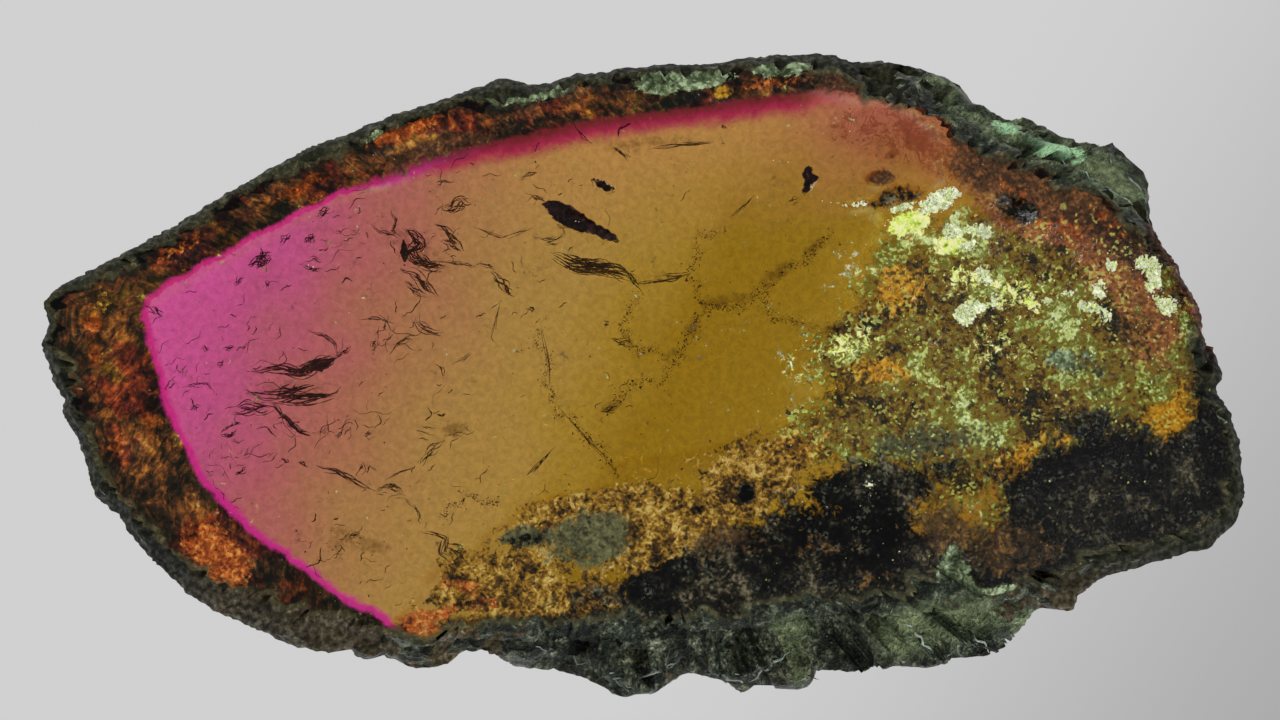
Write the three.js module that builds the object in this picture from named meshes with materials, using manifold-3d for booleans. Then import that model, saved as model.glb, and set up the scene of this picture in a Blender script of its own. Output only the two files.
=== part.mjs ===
// A cut slice of rough, colour-zoned tourmaline lying on its lower cut face. Millimetres, +Z up.
// The slice is one grown crystal, so it is one solid: striated prism walls round the left, the top
// and the right, broken walls along the front and the upper right corner, and two flat cut faces.
import * as THREE from 'three';
import { mergeVertices } from 'three/addons/utils/BufferGeometryUtils.js';
import Module from 'manifold-3d';

const wasm = await Module();
wasm.setup();

// Driving sizes
const THICKNESS = 4.2;
const FOOT_INSET = 0.34;
const RIB_WIDTH = 0.95;
const RIB_GAP = 0.14;
const SPLIT_SIZE = 5;
const WALL_SEED = 7;
const BREAK_SEED = 23;
const CHIP_SEED = 31;
const CRUST_SEED = 41;

// The outline at its widest, seen from above and read clockwise from the blunt left tip.
// A point is [x, y, ledge], where ledge is how far the edge of the upper cut face stands back.
// rib is the depth of the upright growth ribs, chip the roughness of a broken stretch.
const STRETCHES = [
  {
    name: 'left tip', rib: 0.09, chip: 0.1,
    points: [[-18.0, 0.7, 0.3], [-17.8, 1.4, 0.25], [-17.9, 2.3, 0.2]],
  },
  {
    name: 'upper left prism face', rib: 0.1, chip: 0.04,
    points: [
      [-17.5, 2.7, 0.3], [-15.4, 3.8, 0.35], [-13.4, 4.9, 0.35], [-12.2, 5.7, 0.3],
      [-9.4, 7.1, 0.35], [-7.6, 7.8, 0.35], [-5.7, 8.4, 0.3],
    ],
  },
  {
    name: 'top prism face', rib: 0.09, chip: 0.06,
    points: [
      [-4.9, 8.7, 0.4], [-4.3, 9.0, 0.6], [-3.3, 8.8, 0.5], [-1.9, 9.1, 0.35], [0.2, 9.3, 0.35],
      [2.2, 9.4, 0.35], [3.3, 9.6, 0.4], [5.1, 9.7, 0.5], [6.6, 9.5, 0.8],
    ],
  },
  {
    name: 'upper right break', rib: 0.0, chip: 0.16,
    points: [
      [7.2, 9.5, 1.2], [8.5, 9.2, 1.35], [9.4, 8.8, 1.3], [10.0, 8.2, 1.1], [11.0, 7.9, 1.3],
      [11.8, 7.7, 1.4], [12.8, 7.3, 1.4], [13.3, 7.3, 1.6], [14.2, 6.9, 1.7], [15.1, 6.0, 1.5],
      [15.2, 4.8, 0.7],
    ],
  },
  {
    name: 'right prism face', rib: 0.1, chip: 0.08,
    points: [
      [15.5, 4.0, 0.35], [16.1, 3.1, 0.3], [16.6, 2.2, 0.3], [16.9, 0.8, 0.35], [17.2, 0.6, 0.7],
      [17.3, -0.6, 0.6], [17.6, -1.0, 0.4], [17.9, -2.5, 0.35], [18.0, -3.4, 0.4],
      [17.8, -4.2, 0.45], [17.6, -4.6, 0.5], [17.0, -5.2, 0.5],
    ],
  },
  {
    name: 'lower right corner', rib: 0.05, chip: 0.1,
    points: [[16.2, -5.4, 0.5], [15.4, -5.6, 0.5], [14.8, -5.8, 0.5], [13.7, -6.1, 0.5]],
  },
  {
    name: 'front break', rib: 0.0, chip: 0.2,
    points: [
      [13.1, -6.6, 0.7], [12.8, -7.1, 0.9], [11.8, -7.1, 0.9], [11.2, -8.0, 1.5],
      [10.4, -8.4, 1.8], [9.2, -8.7, 2.0], [7.4, -8.8, 1.9], [6.7, -9.0, 2.0], [5.8, -8.9, 1.9],
      [5.2, -8.8, 1.8], [4.8, -9.4, 2.2], [3.4, -9.4, 2.2], [2.9, -9.7, 2.3], [2.3, -9.1, 1.7],
      [1.3, -9.0, 1.5], [0.4, -9.5, 1.9], [-0.3, -9.6, 2.0], [-1.0, -9.5, 1.8],
      [-1.6, -9.2, 1.5], [-2.6, -8.9, 1.1], [-4.0, -8.7, 0.9], [-4.7, -8.4, 0.6],
      [-5.4, -8.4, 0.6], [-5.8, -8.7, 0.8], [-6.5, -8.8, 0.6],
    ],
  },
  {
    name: 'lower left prism face', rib: 0.09, chip: 0.08,
    points: [
      [-7.9, -8.4, 0.6], [-9.1, -8.0, 0.6], [-10.2, -8.2, 0.9], [-11.6, -7.6, 0.8],
      [-12.9, -7.0, 0.7], [-13.8, -6.4, 0.6], [-14.8, -5.5, 0.5], [-15.3, -4.9, 0.4],
      [-15.8, -4.1, 0.4],
    ],
  },
  {
    name: 'left end', rib: 0.08, chip: 0.1,
    points: [
      [-16.4, -3.6, 0.4], [-16.7, -2.7, 0.35], [-17.0, -1.8, 0.35], [-17.4, -1.2, 0.4],
      [-17.4, -0.7, 0.3], [-17.7, -0.1, 0.4],
    ],
  },
];

// Heights of the wall's rings: foot and ledge say how much of each inset the ring takes.
const RINGS = [
  { height: 0.0, foot: 1.0, ledge: 0.0, rough: 0.0 },
  { height: 0.1, foot: 0.42, ledge: 0.0, rough: 0.8 },
  { height: 0.28, foot: 0.0, ledge: 0.0, rough: 0.6 },
  { height: 0.5, foot: 0.0, ledge: 0.1, rough: 1.0 },
  { height: 0.76, foot: 0.0, ledge: 0.5, rough: 1.0 },
  { height: 0.93, foot: 0.0, ledge: 0.86, rough: 0.8 },
  { height: 1.0, foot: 0.0, ledge: 1.0, rough: 0.0 },
];

// Rows of splits along a broken stretch. Heights are shares of the thickness, insets shares of
// the ledge, slopes and turns degrees, widths millimetres.
const BROKEN_STRETCHES = ['upper right break', 'front break'];
const SPLIT_ROWS = [
  { height: [0.6, 0.86], inset: [0.8, 1.02], slope: [8, 34], turn: 16, width: [1.3, 2.8] },
  { height: [0.28, 0.6], inset: [0.3, 0.75], slope: [18, 55], turn: 28, width: [0.9, 2.2] },
];

// Hollow shell-shaped breaks in the walls: centre and radius
const SHELL_BREAKS = [
  { centre: [-4.8, -10.1, 4.5], radius: 1.8 },
  { centre: [-2.4, -10.9, 4.2], radius: 2.2 },
  { centre: [1.1, -10.9, 4.5], radius: 2.1 },
  { centre: [6.0, -10.4, 4.5], radius: 1.9 },
  { centre: [8.4, -10.5, 4.4], radius: 2.1 },
  { centre: [11.4, -9.2, 4.7], radius: 1.8 },
  { centre: [9.3, 10.3, 4.6], radius: 1.6 },
  { centre: [12.0, 9.6, 4.4], radius: 2.0 },
  { centre: [15.4, 7.4, 4.6], radius: 1.8 },
  { centre: [18.6, -0.3, 4.4], radius: 1.2 },
  { centre: [-18.5, -1.4, 4.6], radius: 1.2 },
];

// Blades that stand out of the breaks: centre, half sizes along, across and up, turn and lean
const BLADES = [
  { centre: [-1.1, -8.6, 1.75], size: [1.4, 0.4, 1.6], turn: -41, lean: 18 },
  { centre: [0.4, -8.5, 1.7], size: [1.3, 0.36, 1.55], turn: 21, lean: 22 },
  { centre: [2.3, -8.7, 1.6], size: [1.1, 0.36, 1.45], turn: -28, lean: 14 },
  { centre: [3.6, -8.4, 1.65], size: [1.4, 0.4, 1.5], turn: 34, lean: 20 },
  { centre: [7.0, -8.2, 1.65], size: [0.9, 0.34, 1.5], turn: 58, lean: 16 },
  { centre: [8.2, -7.7, 1.95], size: [1.3, 0.38, 1.75], turn: -47, lean: 24 },
  { centre: [9.8, -7.6, 1.85], size: [1.2, 0.34, 1.7], turn: -40, lean: 20 },
  { centre: [12.4, 6.5, 1.6], size: [1.6, 0.34, 1.3], turn: -24, lean: -18 },
  { centre: [16.9, 0.0, 2.1], size: [0.42, 0.85, 1.6], turn: -6, lean: 0 },
];

// Rounded lumps that stand out of the walls: centre and the three half sizes
const LUMPS = [
  { centre: [4.6, -8.8, 1.5], size: [0.6, 0.62, 0.95] },
  { centre: [-9.4, -7.7, 1.7], size: [1.15, 0.6, 1.3] },
  { centre: [-8.2, -8.0, 1.4], size: [0.6, 0.5, 1.0] },
];

// Small chips along the edges of both cut faces
const EDGE_CHIPS = { count: 34, radius: [0.35, 0.85], bite: [0.08, 0.26] };

// Pits in the upper cut face: centre, half sizes, depth and turn in degrees
const FACE_PITS = [
  { centre: [-1.8, 4.3], size: [1.15, 0.42], depth: 0.4, turn: -24 },
  { centre: [-1.1, 5.5], size: [0.44, 0.22], depth: 0.24, turn: -18 },
  { centre: [4.9, 5.6], size: [0.24, 0.36], depth: 0.2, turn: -12 },
  { centre: [11.0, 4.8], size: [0.72, 0.44], depth: 0.45, turn: -32 },
  { centre: [9.4, -6.5], size: [0.75, 0.6], depth: 0.55, turn: 20 },
  { centre: [9.2, -5.8], size: [0.36, 0.8], depth: 0.4, turn: -10 },
  { centre: [8.7, -6.6], size: [0.5, 0.3], depth: 0.3, turn: 35 },
  { centre: [-3.8, 8.4], size: [1.3, 0.3], depth: 0.26, turn: 6 },
  { centre: [0.5, 8.5], size: [0.7, 0.28], depth: 0.22, turn: 4 },
  { centre: [1.9, 8.7], size: [0.6, 0.26], depth: 0.2, turn: 8 },
  { centre: [4.2, 8.9], size: [0.8, 0.26], depth: 0.2, turn: 2 },
];

// The pitted right part of the upper cut face: centre, half sizes and the number of small pits
const CRUST = { centre: [10.8, 2.0], size: [5.0, 3.8], pits: 30, radius: [0.25, 0.8], depth: 0.09 };

// A repeatable random number from 0 to 1
function seededRandom(seed) {
  let state = seed >>> 0;
  return () => {
    state = (state + 0x6d2b79f5) >>> 0;
    let mixed = Math.imul(state ^ (state >>> 15), 1 | state);
    mixed = (mixed + Math.imul(mixed ^ (mixed >>> 7), 61 | mixed)) ^ mixed;
    return ((mixed ^ (mixed >>> 14)) >>> 0) / 4294967296;
  };
}

// Closed curve through the outline's points, with the ledge carried in z
const outlinePoints = STRETCHES.flatMap((stretch) => stretch.points);
const outlineStretches = STRETCHES.flatMap((stretch) => stretch.points.map(() => stretch));
const outlineCurve = new THREE.CatmullRomCurve3(
  outlinePoints.map(([x, y, ledge]) => new THREE.Vector3(x, y, ledge)),
  true,
  'centripetal',
);

// Outward direction at a place on the outline, taken over a long enough run to skip the teeth
function outwardAt(place) {
  const reach = 1.6 / outlinePoints.length;
  const before = outlineCurve.getPoint((place - reach + 1) % 1);
  const after = outlineCurve.getPoint((place + reach) % 1);
  return new THREE.Vector2(before.y - after.y, after.x - before.x).normalize();
}

// Stations round the outline: the two edges of every rib, both set back by the rib's own depth
function wallStations() {
  const random = seededRandom(WALL_SEED);
  const stations = [];
  outlinePoints.forEach((point, index) => {
    const next = outlinePoints[(index + 1) % outlinePoints.length];
    const stretch = outlineStretches[index];
    const span = Math.hypot(next[0] - point[0], next[1] - point[1]);
    const ribs = Math.max(1, Math.round(span / RIB_WIDTH));
    for (let rib = 0; rib < ribs; rib += 1) {
      const setBack = stretch.rib * random();
      for (const share of [rib + RIB_GAP, rib + 1 - RIB_GAP]) {
        const place = (index + share / ribs) / outlinePoints.length;
        const { x, y, z } = outlineCurve.getPoint(place);
        stations.push({ x, y, ledge: z, setBack, stretch, outward: outwardAt(place) });
      }
    }
  });
  return stations;
}

// Mesh of the whole slice: rings of wall vertices closed by the two flat cut faces
function sliceGeometry(stations) {
  const random = seededRandom(WALL_SEED + 1);
  const count = stations.length;
  const positions = [];
  for (const ring of RINGS) {
    for (const station of stations) {
      const chip = station.stretch.chip * ring.rough * (random() - 0.2);
      const inset = FOOT_INSET * ring.foot + station.ledge * ring.ledge + station.setBack + chip;
      positions.push(
        station.x - station.outward.x * inset,
        station.y - station.outward.y * inset,
        THICKNESS * ring.height,
      );
    }
  }
  const faces = [];
  for (let ring = 0; ring < RINGS.length - 1; ring += 1) {
    for (let index = 0; index < count; index += 1) {
      const next = (index + 1) % count;
      const low = ring * count;
      const high = low + count;
      faces.push(low + index, high + index, low + next);
      faces.push(low + next, high + index, high + next);
    }
  }
  const capOf = (ring) => {
    const points = stations.map((station, index) => new THREE.Vector2(
      positions[3 * (ring * count + index)],
      positions[3 * (ring * count + index) + 1],
    ));
    return THREE.ShapeUtils.triangulateShape(points, [])
      .map((corners) => corners.map((corner) => ring * count + corner));
  };
  for (const corners of capOf(0)) {
    faces.push(...corners.reverse());
  }
  for (const corners of capOf(RINGS.length - 1)) {
    faces.push(...corners);
  }
  const geometry = new THREE.BufferGeometry();
  geometry.setAttribute('position', new THREE.Float32BufferAttribute(positions, 3));
  geometry.setIndex(faces);
  return geometry;
}

// A random number between the two ends of a range
function within(random, [low, high]) {
  return low + (high - low) * random();
}

// Solid of a closed geometry
function solidOf(geometry) {
  const bare = geometry.clone();
  bare.deleteAttribute('normal');
  bare.deleteAttribute('uv');
  const merged = mergeVertices(bare, 1e-4);
  return new wasm.Manifold(new wasm.Mesh({
    numProp: 3,
    vertProperties: Float32Array.from(merged.attributes.position.array),
    triVerts: Uint32Array.from(merged.index.array),
  }));
}

// Rotation by three angles in degrees: turn about z after lean about y after pitch about x
function rotation(pitch, lean, turn) {
  const radians = [pitch, lean, turn].map(THREE.MathUtils.degToRad);
  return new THREE.Matrix4().makeRotationFromEuler(new THREE.Euler(...radians, 'ZYX'));
}

// Frame on the wall: x along the outline, y outwards, z up, at an inset and a height
function wallFrame(place, inset, height) {
  const { x, y } = outlineCurve.getPoint(place % 1);
  const outward = outwardAt(place % 1);
  return new THREE.Matrix4().makeBasis(
    new THREE.Vector3(outward.y, -outward.x, 0),
    new THREE.Vector3(outward.x, outward.y, 0),
    new THREE.Vector3(0, 0, 1),
  ).setPosition(x - outward.x * inset, y - outward.y * inset, height);
}

// One split: a block that starts at its near lower edge and opens outwards and upwards
function splitSolid(place, row, random) {
  const { z: ledge } = outlineCurve.getPoint(place % 1);
  const block = new THREE.BoxGeometry(within(random, row.width), SPLIT_SIZE, SPLIT_SIZE);
  block.translate(0, SPLIT_SIZE / 2, SPLIT_SIZE / 2);
  const slope = -within(random, row.slope);
  const roll = within(random, [-row.turn, row.turn]);
  const turn = within(random, [-row.turn, row.turn]);
  block.applyMatrix4(rotation(slope, roll, turn));
  const inset = ledge * within(random, row.inset);
  const height = THICKNESS * within(random, row.height);
  block.applyMatrix4(wallFrame(place, inset, height));
  return solidOf(block);
}

// All the splits of the broken stretches, one for each point of the outline and each row
function splitSolids() {
  const random = seededRandom(BREAK_SEED);
  const splits = [];
  outlineStretches.forEach((stretch, index) => {
    if (BROKEN_STRETCHES.includes(stretch.name)) {
      for (const row of SPLIT_ROWS) {
        const place = (index + random()) / outlinePoints.length;
        splits.push(splitSolid(place, row, random));
      }
    }
  });
  return splits;
}

// A lump or hollow: a faceted ball stretched to its half sizes, turned and placed
function ballSolid(centre, size, turn, detail) {
  const ball = new THREE.IcosahedronGeometry(1, detail);
  ball.scale(...size);
  ball.applyMatrix4(rotation(0, 0, turn));
  ball.translate(...centre);
  return solidOf(ball);
}

// A pit in the upper cut face: a third of the ball's height lies under the face
function pitSolid({ centre, size, depth, turn }) {
  const middle = [centre[0], centre[1], THICKNESS + 2 * depth];
  return ballSolid(middle, [1.34 * size[0], 1.34 * size[1], 3 * depth], turn, 1);
}

// A blade: a flattened eight-sided shard turned across the wall and leaned over
function bladeSolid({ centre, size, turn, lean }) {
  const blade = new THREE.OctahedronGeometry(1);
  blade.scale(...size);
  blade.applyMatrix4(rotation(lean, 0, turn));
  blade.translate(...centre);
  return solidOf(blade);
}

// Small shallow pits of the crust, scattered over its ellipse
function crustPits() {
  const random = seededRandom(CRUST_SEED);
  return Array.from({ length: CRUST.pits }, () => {
    const angle = 2 * Math.PI * random();
    const share = Math.sqrt(random());
    const radius = within(random, CRUST.radius);
    const centre = [
      CRUST.centre[0] + CRUST.size[0] * share * Math.cos(angle),
      CRUST.centre[1] + CRUST.size[1] * share * Math.sin(angle),
    ];
    const size = [radius, radius * within(random, [0.4, 0.9])];
    return pitSolid({ centre, size, depth: CRUST.depth, turn: within(random, [0, 180]) });
  });
}

// Chips along the edges: faceted balls whose centres lie outside the edge of the upper or lower
// face, so that each one bites a little way in
function edgeChips() {
  const random = seededRandom(CHIP_SEED);
  return Array.from({ length: EDGE_CHIPS.count }, (item, index) => {
    const place = (index + random()) / EDGE_CHIPS.count;
    const { z: ledge } = outlineCurve.getPoint(place);
    const upper = random() < 0.6;
    const radius = within(random, EDGE_CHIPS.radius);
    const reach = 0.72 * (radius - within(random, EDGE_CHIPS.bite));
    const edge = upper ? ledge : FOOT_INSET;
    const height = upper ? THICKNESS + reach : -reach;
    const ball = new THREE.IcosahedronGeometry(radius, 1);
    ball.scale(within(random, [0.8, 1.7]), 1, 1);
    ball.applyMatrix4(rotation(within(random, [0, 60]), 0, within(random, [-25, 25])));
    ball.applyMatrix4(wallFrame(place, edge - reach, height));
    return solidOf(ball);
  });
}

// The slice with its blades and lumps joined on, then its breaks and pits cut out
function tourmalineSlice() {
  const joined = [
    ...BLADES.map(bladeSolid),
    ...LUMPS.map(({ centre, size }) => ballSolid(centre, size, 0, 1)),
  ];
  const removed = [
    ...splitSolids(),
    ...SHELL_BREAKS.map(({ centre, radius }) => ballSolid(centre, [radius, radius, radius], 0, 3)),
    ...edgeChips(),
    ...FACE_PITS.map(pitSolid),
    ...crustPits(),
  ];
  let body = solidOf(sliceGeometry(wallStations()));
  for (const solid of removed) {
    body = body.subtract(solid);
  }
  for (const solid of joined) {
    body = body.add(solid);
  }
  return body;
}

// Geometry of a solid, moved so that the middle of its outline stands over the origin
function geometryOf(solid) {
  const { vertProperties, triVerts } = solid.getMesh();
  const geometry = new THREE.BufferGeometry();
  geometry.setAttribute('position', new THREE.BufferAttribute(vertProperties, 3));
  geometry.setIndex(new THREE.BufferAttribute(triVerts, 1));
  geometry.computeBoundingBox();
  const middle = geometry.boundingBox.getCenter(new THREE.Vector3());
  geometry.translate(-middle.x, -middle.y, 0);
  return geometry;
}

const material = new THREE.MeshStandardMaterial({ color: 0x9a7434, roughness: 0.25, metalness: 0 });
const mesh = new THREE.Mesh(geometryOf(tourmalineSlice()), material);
mesh.name = 'tourmaline_slice';

const part = new THREE.Group();
part.add(mesh);
export default part;
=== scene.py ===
"""The looks of a cut slice of zoned tourmaline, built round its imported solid. Metres, +Z up.

The crystal is one closed surface that follows the solid: station by station round the outline and
row by row from the middle of the lower cut face, up the wall, to the middle of the upper one.
Hairs, hollows, flecks, crust grains and splinters are joined meshes worked out as whole arrays.
"""

import bpy
import numpy as np
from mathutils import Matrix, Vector


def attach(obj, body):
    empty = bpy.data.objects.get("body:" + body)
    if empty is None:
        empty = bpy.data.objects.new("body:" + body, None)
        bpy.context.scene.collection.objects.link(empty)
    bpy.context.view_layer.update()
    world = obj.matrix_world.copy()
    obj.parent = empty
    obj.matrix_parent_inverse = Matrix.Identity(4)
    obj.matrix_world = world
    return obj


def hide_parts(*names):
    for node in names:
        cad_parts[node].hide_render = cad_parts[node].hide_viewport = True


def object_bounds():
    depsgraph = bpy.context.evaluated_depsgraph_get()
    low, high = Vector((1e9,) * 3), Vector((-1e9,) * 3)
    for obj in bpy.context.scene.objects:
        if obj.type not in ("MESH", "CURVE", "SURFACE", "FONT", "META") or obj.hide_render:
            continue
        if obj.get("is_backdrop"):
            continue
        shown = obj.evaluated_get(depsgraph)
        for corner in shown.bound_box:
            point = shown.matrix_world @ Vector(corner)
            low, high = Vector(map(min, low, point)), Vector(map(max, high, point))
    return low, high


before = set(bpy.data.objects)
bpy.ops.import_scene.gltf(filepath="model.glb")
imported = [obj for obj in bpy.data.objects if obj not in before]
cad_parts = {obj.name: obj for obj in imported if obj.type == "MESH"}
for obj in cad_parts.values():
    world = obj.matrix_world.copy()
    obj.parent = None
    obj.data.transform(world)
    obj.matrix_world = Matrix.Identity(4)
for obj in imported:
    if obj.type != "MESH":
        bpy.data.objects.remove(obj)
cad_low, cad_high = (np.array(corner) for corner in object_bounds())

MM = 0.001
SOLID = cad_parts["tourmaline_slice"]
HALF_LENGTH, HALF_WIDTH = (cad_high - cad_low)[:2] / 2
THICKNESS = cad_high[2] - cad_low[2]

# The grid of the crystal's surface
STATIONS = 960
FOOT_ROWS = 20
WALL_ROWS = 30
FACE_ROWS = 54

# Refraction of tourmaline
IOR = 1.63

# The studio: table, lamps and camera
TABLE_HALF, TABLE_TOP = 0.6, -0.02 * MM
TABLE_GLOW, TABLE_DULL = (0.635, 0.635, 0.635), (0.39, 0.39, 0.39)
LAMP_SIZE = 0.16
KEY_PLACE, KEY_POWER = (-0.24, 0.2, 0.16), 1.9
FILL_PLACE, FILL_POWER = (0.22, -0.2, 0.14), 1.3
WORLD_COLOUR, WORLD_STRENGTH = (0.9, 0.92, 0.95, 1), 0.08
CAMERA_DISTANCE, CAMERA_ELEVATION = 0.32, np.radians(87)
CAMERA_AIM = Vector((-0.09 * MM, 0.405 * MM, 2 * MM))
CAMERA_SENSOR, WIDTH_IN_VIEW = 36, 38.1 * MM

# Places are in millimetres on the slice, seen from above. The rind's inner border, clockwise from
# the lower left to the upper right.
RIND_BORDER = [
    (-6.2, -8.6), (-7.6, -7.5), (-9.0, -6.7), (-10.2, -5.8), (-11.3, -5.0), (-12.3, -4.1),
    (-13.1, -3.3), (-13.5, -2.4), (-14.1, -1.2), (-14.5, 0.4), (-14.8, 1.5), (-14.7, 2.2),
    (-12.1, 3.7), (-9.4, 5.1), (-7.9, 5.7), (-6.4, 6.3), (-3.7, 6.9), (-1.3, 7.4), (1.7, 7.8),
    (4.7, 8.2), (6.4, 8.5), (8.0, 9.2),
]

# Soft regions of the cut faces: middle, half sizes, turn in degrees, strength
SOOT = [
    (5.61, -4.39, 2.25, 1.35, 10, 1), (3.51, -5.59, 2.7, 1.05, 5, 1), (1.41, -6.34, 2.1, 0.75, 4, 0.9),
    (-1.29, -6.97, 2.7, 0.39, 3, 0.4), (-3.09, -7.46, 3.3, 0.21, 2, 0.7),
    (7.11, -3.49, 1.5, 0.84, 0, 0.9), (14.61, -3.19, 3.15, 1.5, 12, 1.2),
    (16.71, -1.69, 0.96, 1.8, -5, 1), (13.11, -3.49, 1.8, 1.14, 0, 1),
    (11.07, 4.81, 0.72, 0.39, -35, 0.95), (0.36, -6.34, 0.54, 0.24, 0, 0.9),
    (5.46, -6.5, 1.8, 0.6, 0, 0.9), (-3.54, -5.02, 0.78, 0.24, 0, 0.8), (3.06, -3.65, 0.24, 0.3, 0, 1),
    (1.71, -4.09, 0.66, 0.27, 20, 0.7), (17.37, -0.49, 0.6, 0.9, 0, 1),
    (14.01, 5.65, 1.86, 0.27, -35, 1.2), (7.5, 5.12, 0.78, 0.36, 15, 0.8),
    (-5.19, -6.85, 0.78, 0.21, 0, 0.6), (13.71, -5, 2.4, 0.78, 8, 1.0), (10.2, -5.2, 3.4, 0.9, 3, 0.6),
    (13.0, -1.5, 1.3, 0.5, 0, 0.6), (9.3, -2.9, 1.2, 0.5, 0, 0.5), (12.8, 0.2, 1.6, 0.5, -10, 0.45),
    (7.4, -5.6, 1.3, 0.9, 0, 0.8), (15.4, -4.5, 1.4, 0.5, 20, 0.9), (11.6, -3.9, 1.0, 0.9, 0, 0.6),
    (8.2, -1.7, 1.3, 0.4, 0, 0.35), (17.1, 0.3, 0.4, 0.8, 0, 0.8), (10.9, -5.4, 1.4, 0.9, 0, -0.3),
    (8.8, -4.6, 0.75, 0.9, 0, -0.3), (5.2, -4.4, 1.3, 0.6, 10, -0.35), (-1.6, -6.55, 1.0, 0.22, 5, 0.5),
    (0.9, -6.0, 0.5, 0.3, 20, 0.5), (15.9, -1.6, 0.9, 0.7, 10, -0.6),
]
RUST = [
    (-2.49, -4.69, 1.8, 0.9, 10, 0.9), (1.71, -4.39, 2.55, 0.78, 18, 0.9),
    (-3.39, -6.79, 2.25, 0.6, 3, 0.9), (-0.09, -5.59, 1.5, 0.75, 0, 0.7),
    (-5.19, -6.5, 1.26, 0.45, 10, 0.8), (3.51, -3.19, 1.5, 0.72, 20, 0.7),
    (-0.09, -3.79, 1.2, 0.54, 0, 0.7), (2.61, -2.65, 1.8, 0.72, 10, 0.45),
    (10.6, -2.9, 0.6, 0.5, 0, 0.8), (5.0, -4.5, 1.2, 0.5, 10, 0.35),
    (-3.6, -6.0, 1.3, 0.5, 0, 0.7), (-1.2, -3.9, 1.6, 0.35, 5, 0.55), (-0.8, -6.9, 2.4, 0.5, 3, 0.8),
    (-2.5, -7.4, 3.2, 0.4, 3, 0.9),
    (-5.0, -5.9, 1.2, 0.6, 0, 0.7), (4.4, -2.2, 1.6, 0.6, 15, 0.5),
]
CRUST = [
    (8.61, 1.3, 2.7, 1.8, 0, 0.9), (11.91, 2.21, 3.3, 1.56, 0, 0.9), (7.71, -0.79, 2.7, 1.26, 10, 0.9),
    (10.11, -0.79, 2.4, 0.99, 0, 0.8), (6.51, 0.7, 1.74, 0.84, 10, 0.7),
    (13.71, 1.6, 1.98, 1.44, 0, 0.8), (5.31, -1.99, 1.5, 0.84, 15, 0.55),
    (11.31, 3.85, 1.74, 0.66, -10, 0.6), (7.26, 3.1, 0.75, 1.2, 0, 0.6), (8.6, -2.2, 2.6, 0.7, 5, 0.8),
    (12.6, -1.3, 1.8, 0.8, 0, 0.8), (15.2, 0.4, 1.2, 1.0, -20, 0.6),
]
LIME = [
    (7.86, 4.33, 0.62, 0.4, 10, 1.5), (9.06, 3.75, 0.5, 0.36, 0, 1.2), (11.01, 2.21, 1.8, 0.75, 0, 0.6),
    (8.61, -0.65, 1.35, 0.54, 0, 0.35), (10.41, 0.7, 1.35, 0.66, 0, 0.5),
    (6.21, 0.85, 1.05, 0.45, 10, 0.6), (9.2, 2.9, 0.9, 0.5, 0, 0.5), (4.6, 0.1, 1.4, 0.5, 20, 0.35),
]
MINT = [
    (8.76, 5, 0.66, 0.33, 30, 1.35), (7.62, 4.81, 0.36, 0.15, 20, 1.1),
    (9.1, 4.1, 0.32, 0.26, 0, 1.1), (9.95, 4.1, 0.45, 0.22, -15, 1.2), (9.6, 3.65, 0.32, 0.16, 0, 0.9),
    (10.1, 2.8, 0.26, 0.36, 20, 1.1), (9.65, 1.8, 0.5, 0.26, 15, 1.1), (10.4, 2.0, 0.22, 0.4, -10, 0.9),
    (9.5, 1.45, 0.25, 0.2, 0, 0.9), (14.9, 3.15, 0.4, 0.3, -20, 1.1), (15.1, 2.5, 0.26, 0.4, -15, 1.1),
    (15.5, 1.9, 0.36, 0.34, -40, 1.1), (13.5, 2.4, 0.22, 0.34, 10, 1.1),
    (13.15, 1.85, 0.4, 0.2, -15, 1.0),
    (13.7, 1.6, 0.2, 0.3, 0, 1.0), (11.9, 2.05, 0.3, 0.16, -20, 0.8), (12.6, 2.3, 0.24, 0.14, 0, 0.8),
    (13.86, 3.1, 0.21, 0.24, 0, 1.1), (6.3, 4.91, 0.66, 0.12, 8, 0.6),
    (13.05, 0.4, 0.66, 0.24, 0, 0.45), (6.69, -3.38, 0.3, 0.15, 0, 0.8),
]
AMBER = [
    (7.11, -0.04, 0.96, 0.48, 0, 0.9), (11.25, -2.53, 0.45, 0.45, 0, 1.1),
    (15.5, -1.5, 0.75, 0.55, 10, 1.2), (15.9, -0.5, 0.5, 0.7, 0, 0.5),
    (12.27, -1.99, 0.6, 0.42, 0, 0.7), (2.37, 8.23, 0.33, 0.21, 0, 1.1),
    (-1.59, 7.57, 0.48, 0.21, 0, 0.5), (-0.09, -2.9, 1.8, 0.54, 5, 0.4), (7.6, 2.4, 1.1, 1.0, 0, 0.75),
    (-16.1, 2.2, 0.6, 0.9, 10, 0.4), (-15.9, 3.1, 0.5, 0.35, 20, 0.6), (14.3, 3.2, 0.8, 0.6, -30, 0.5),
]
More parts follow.
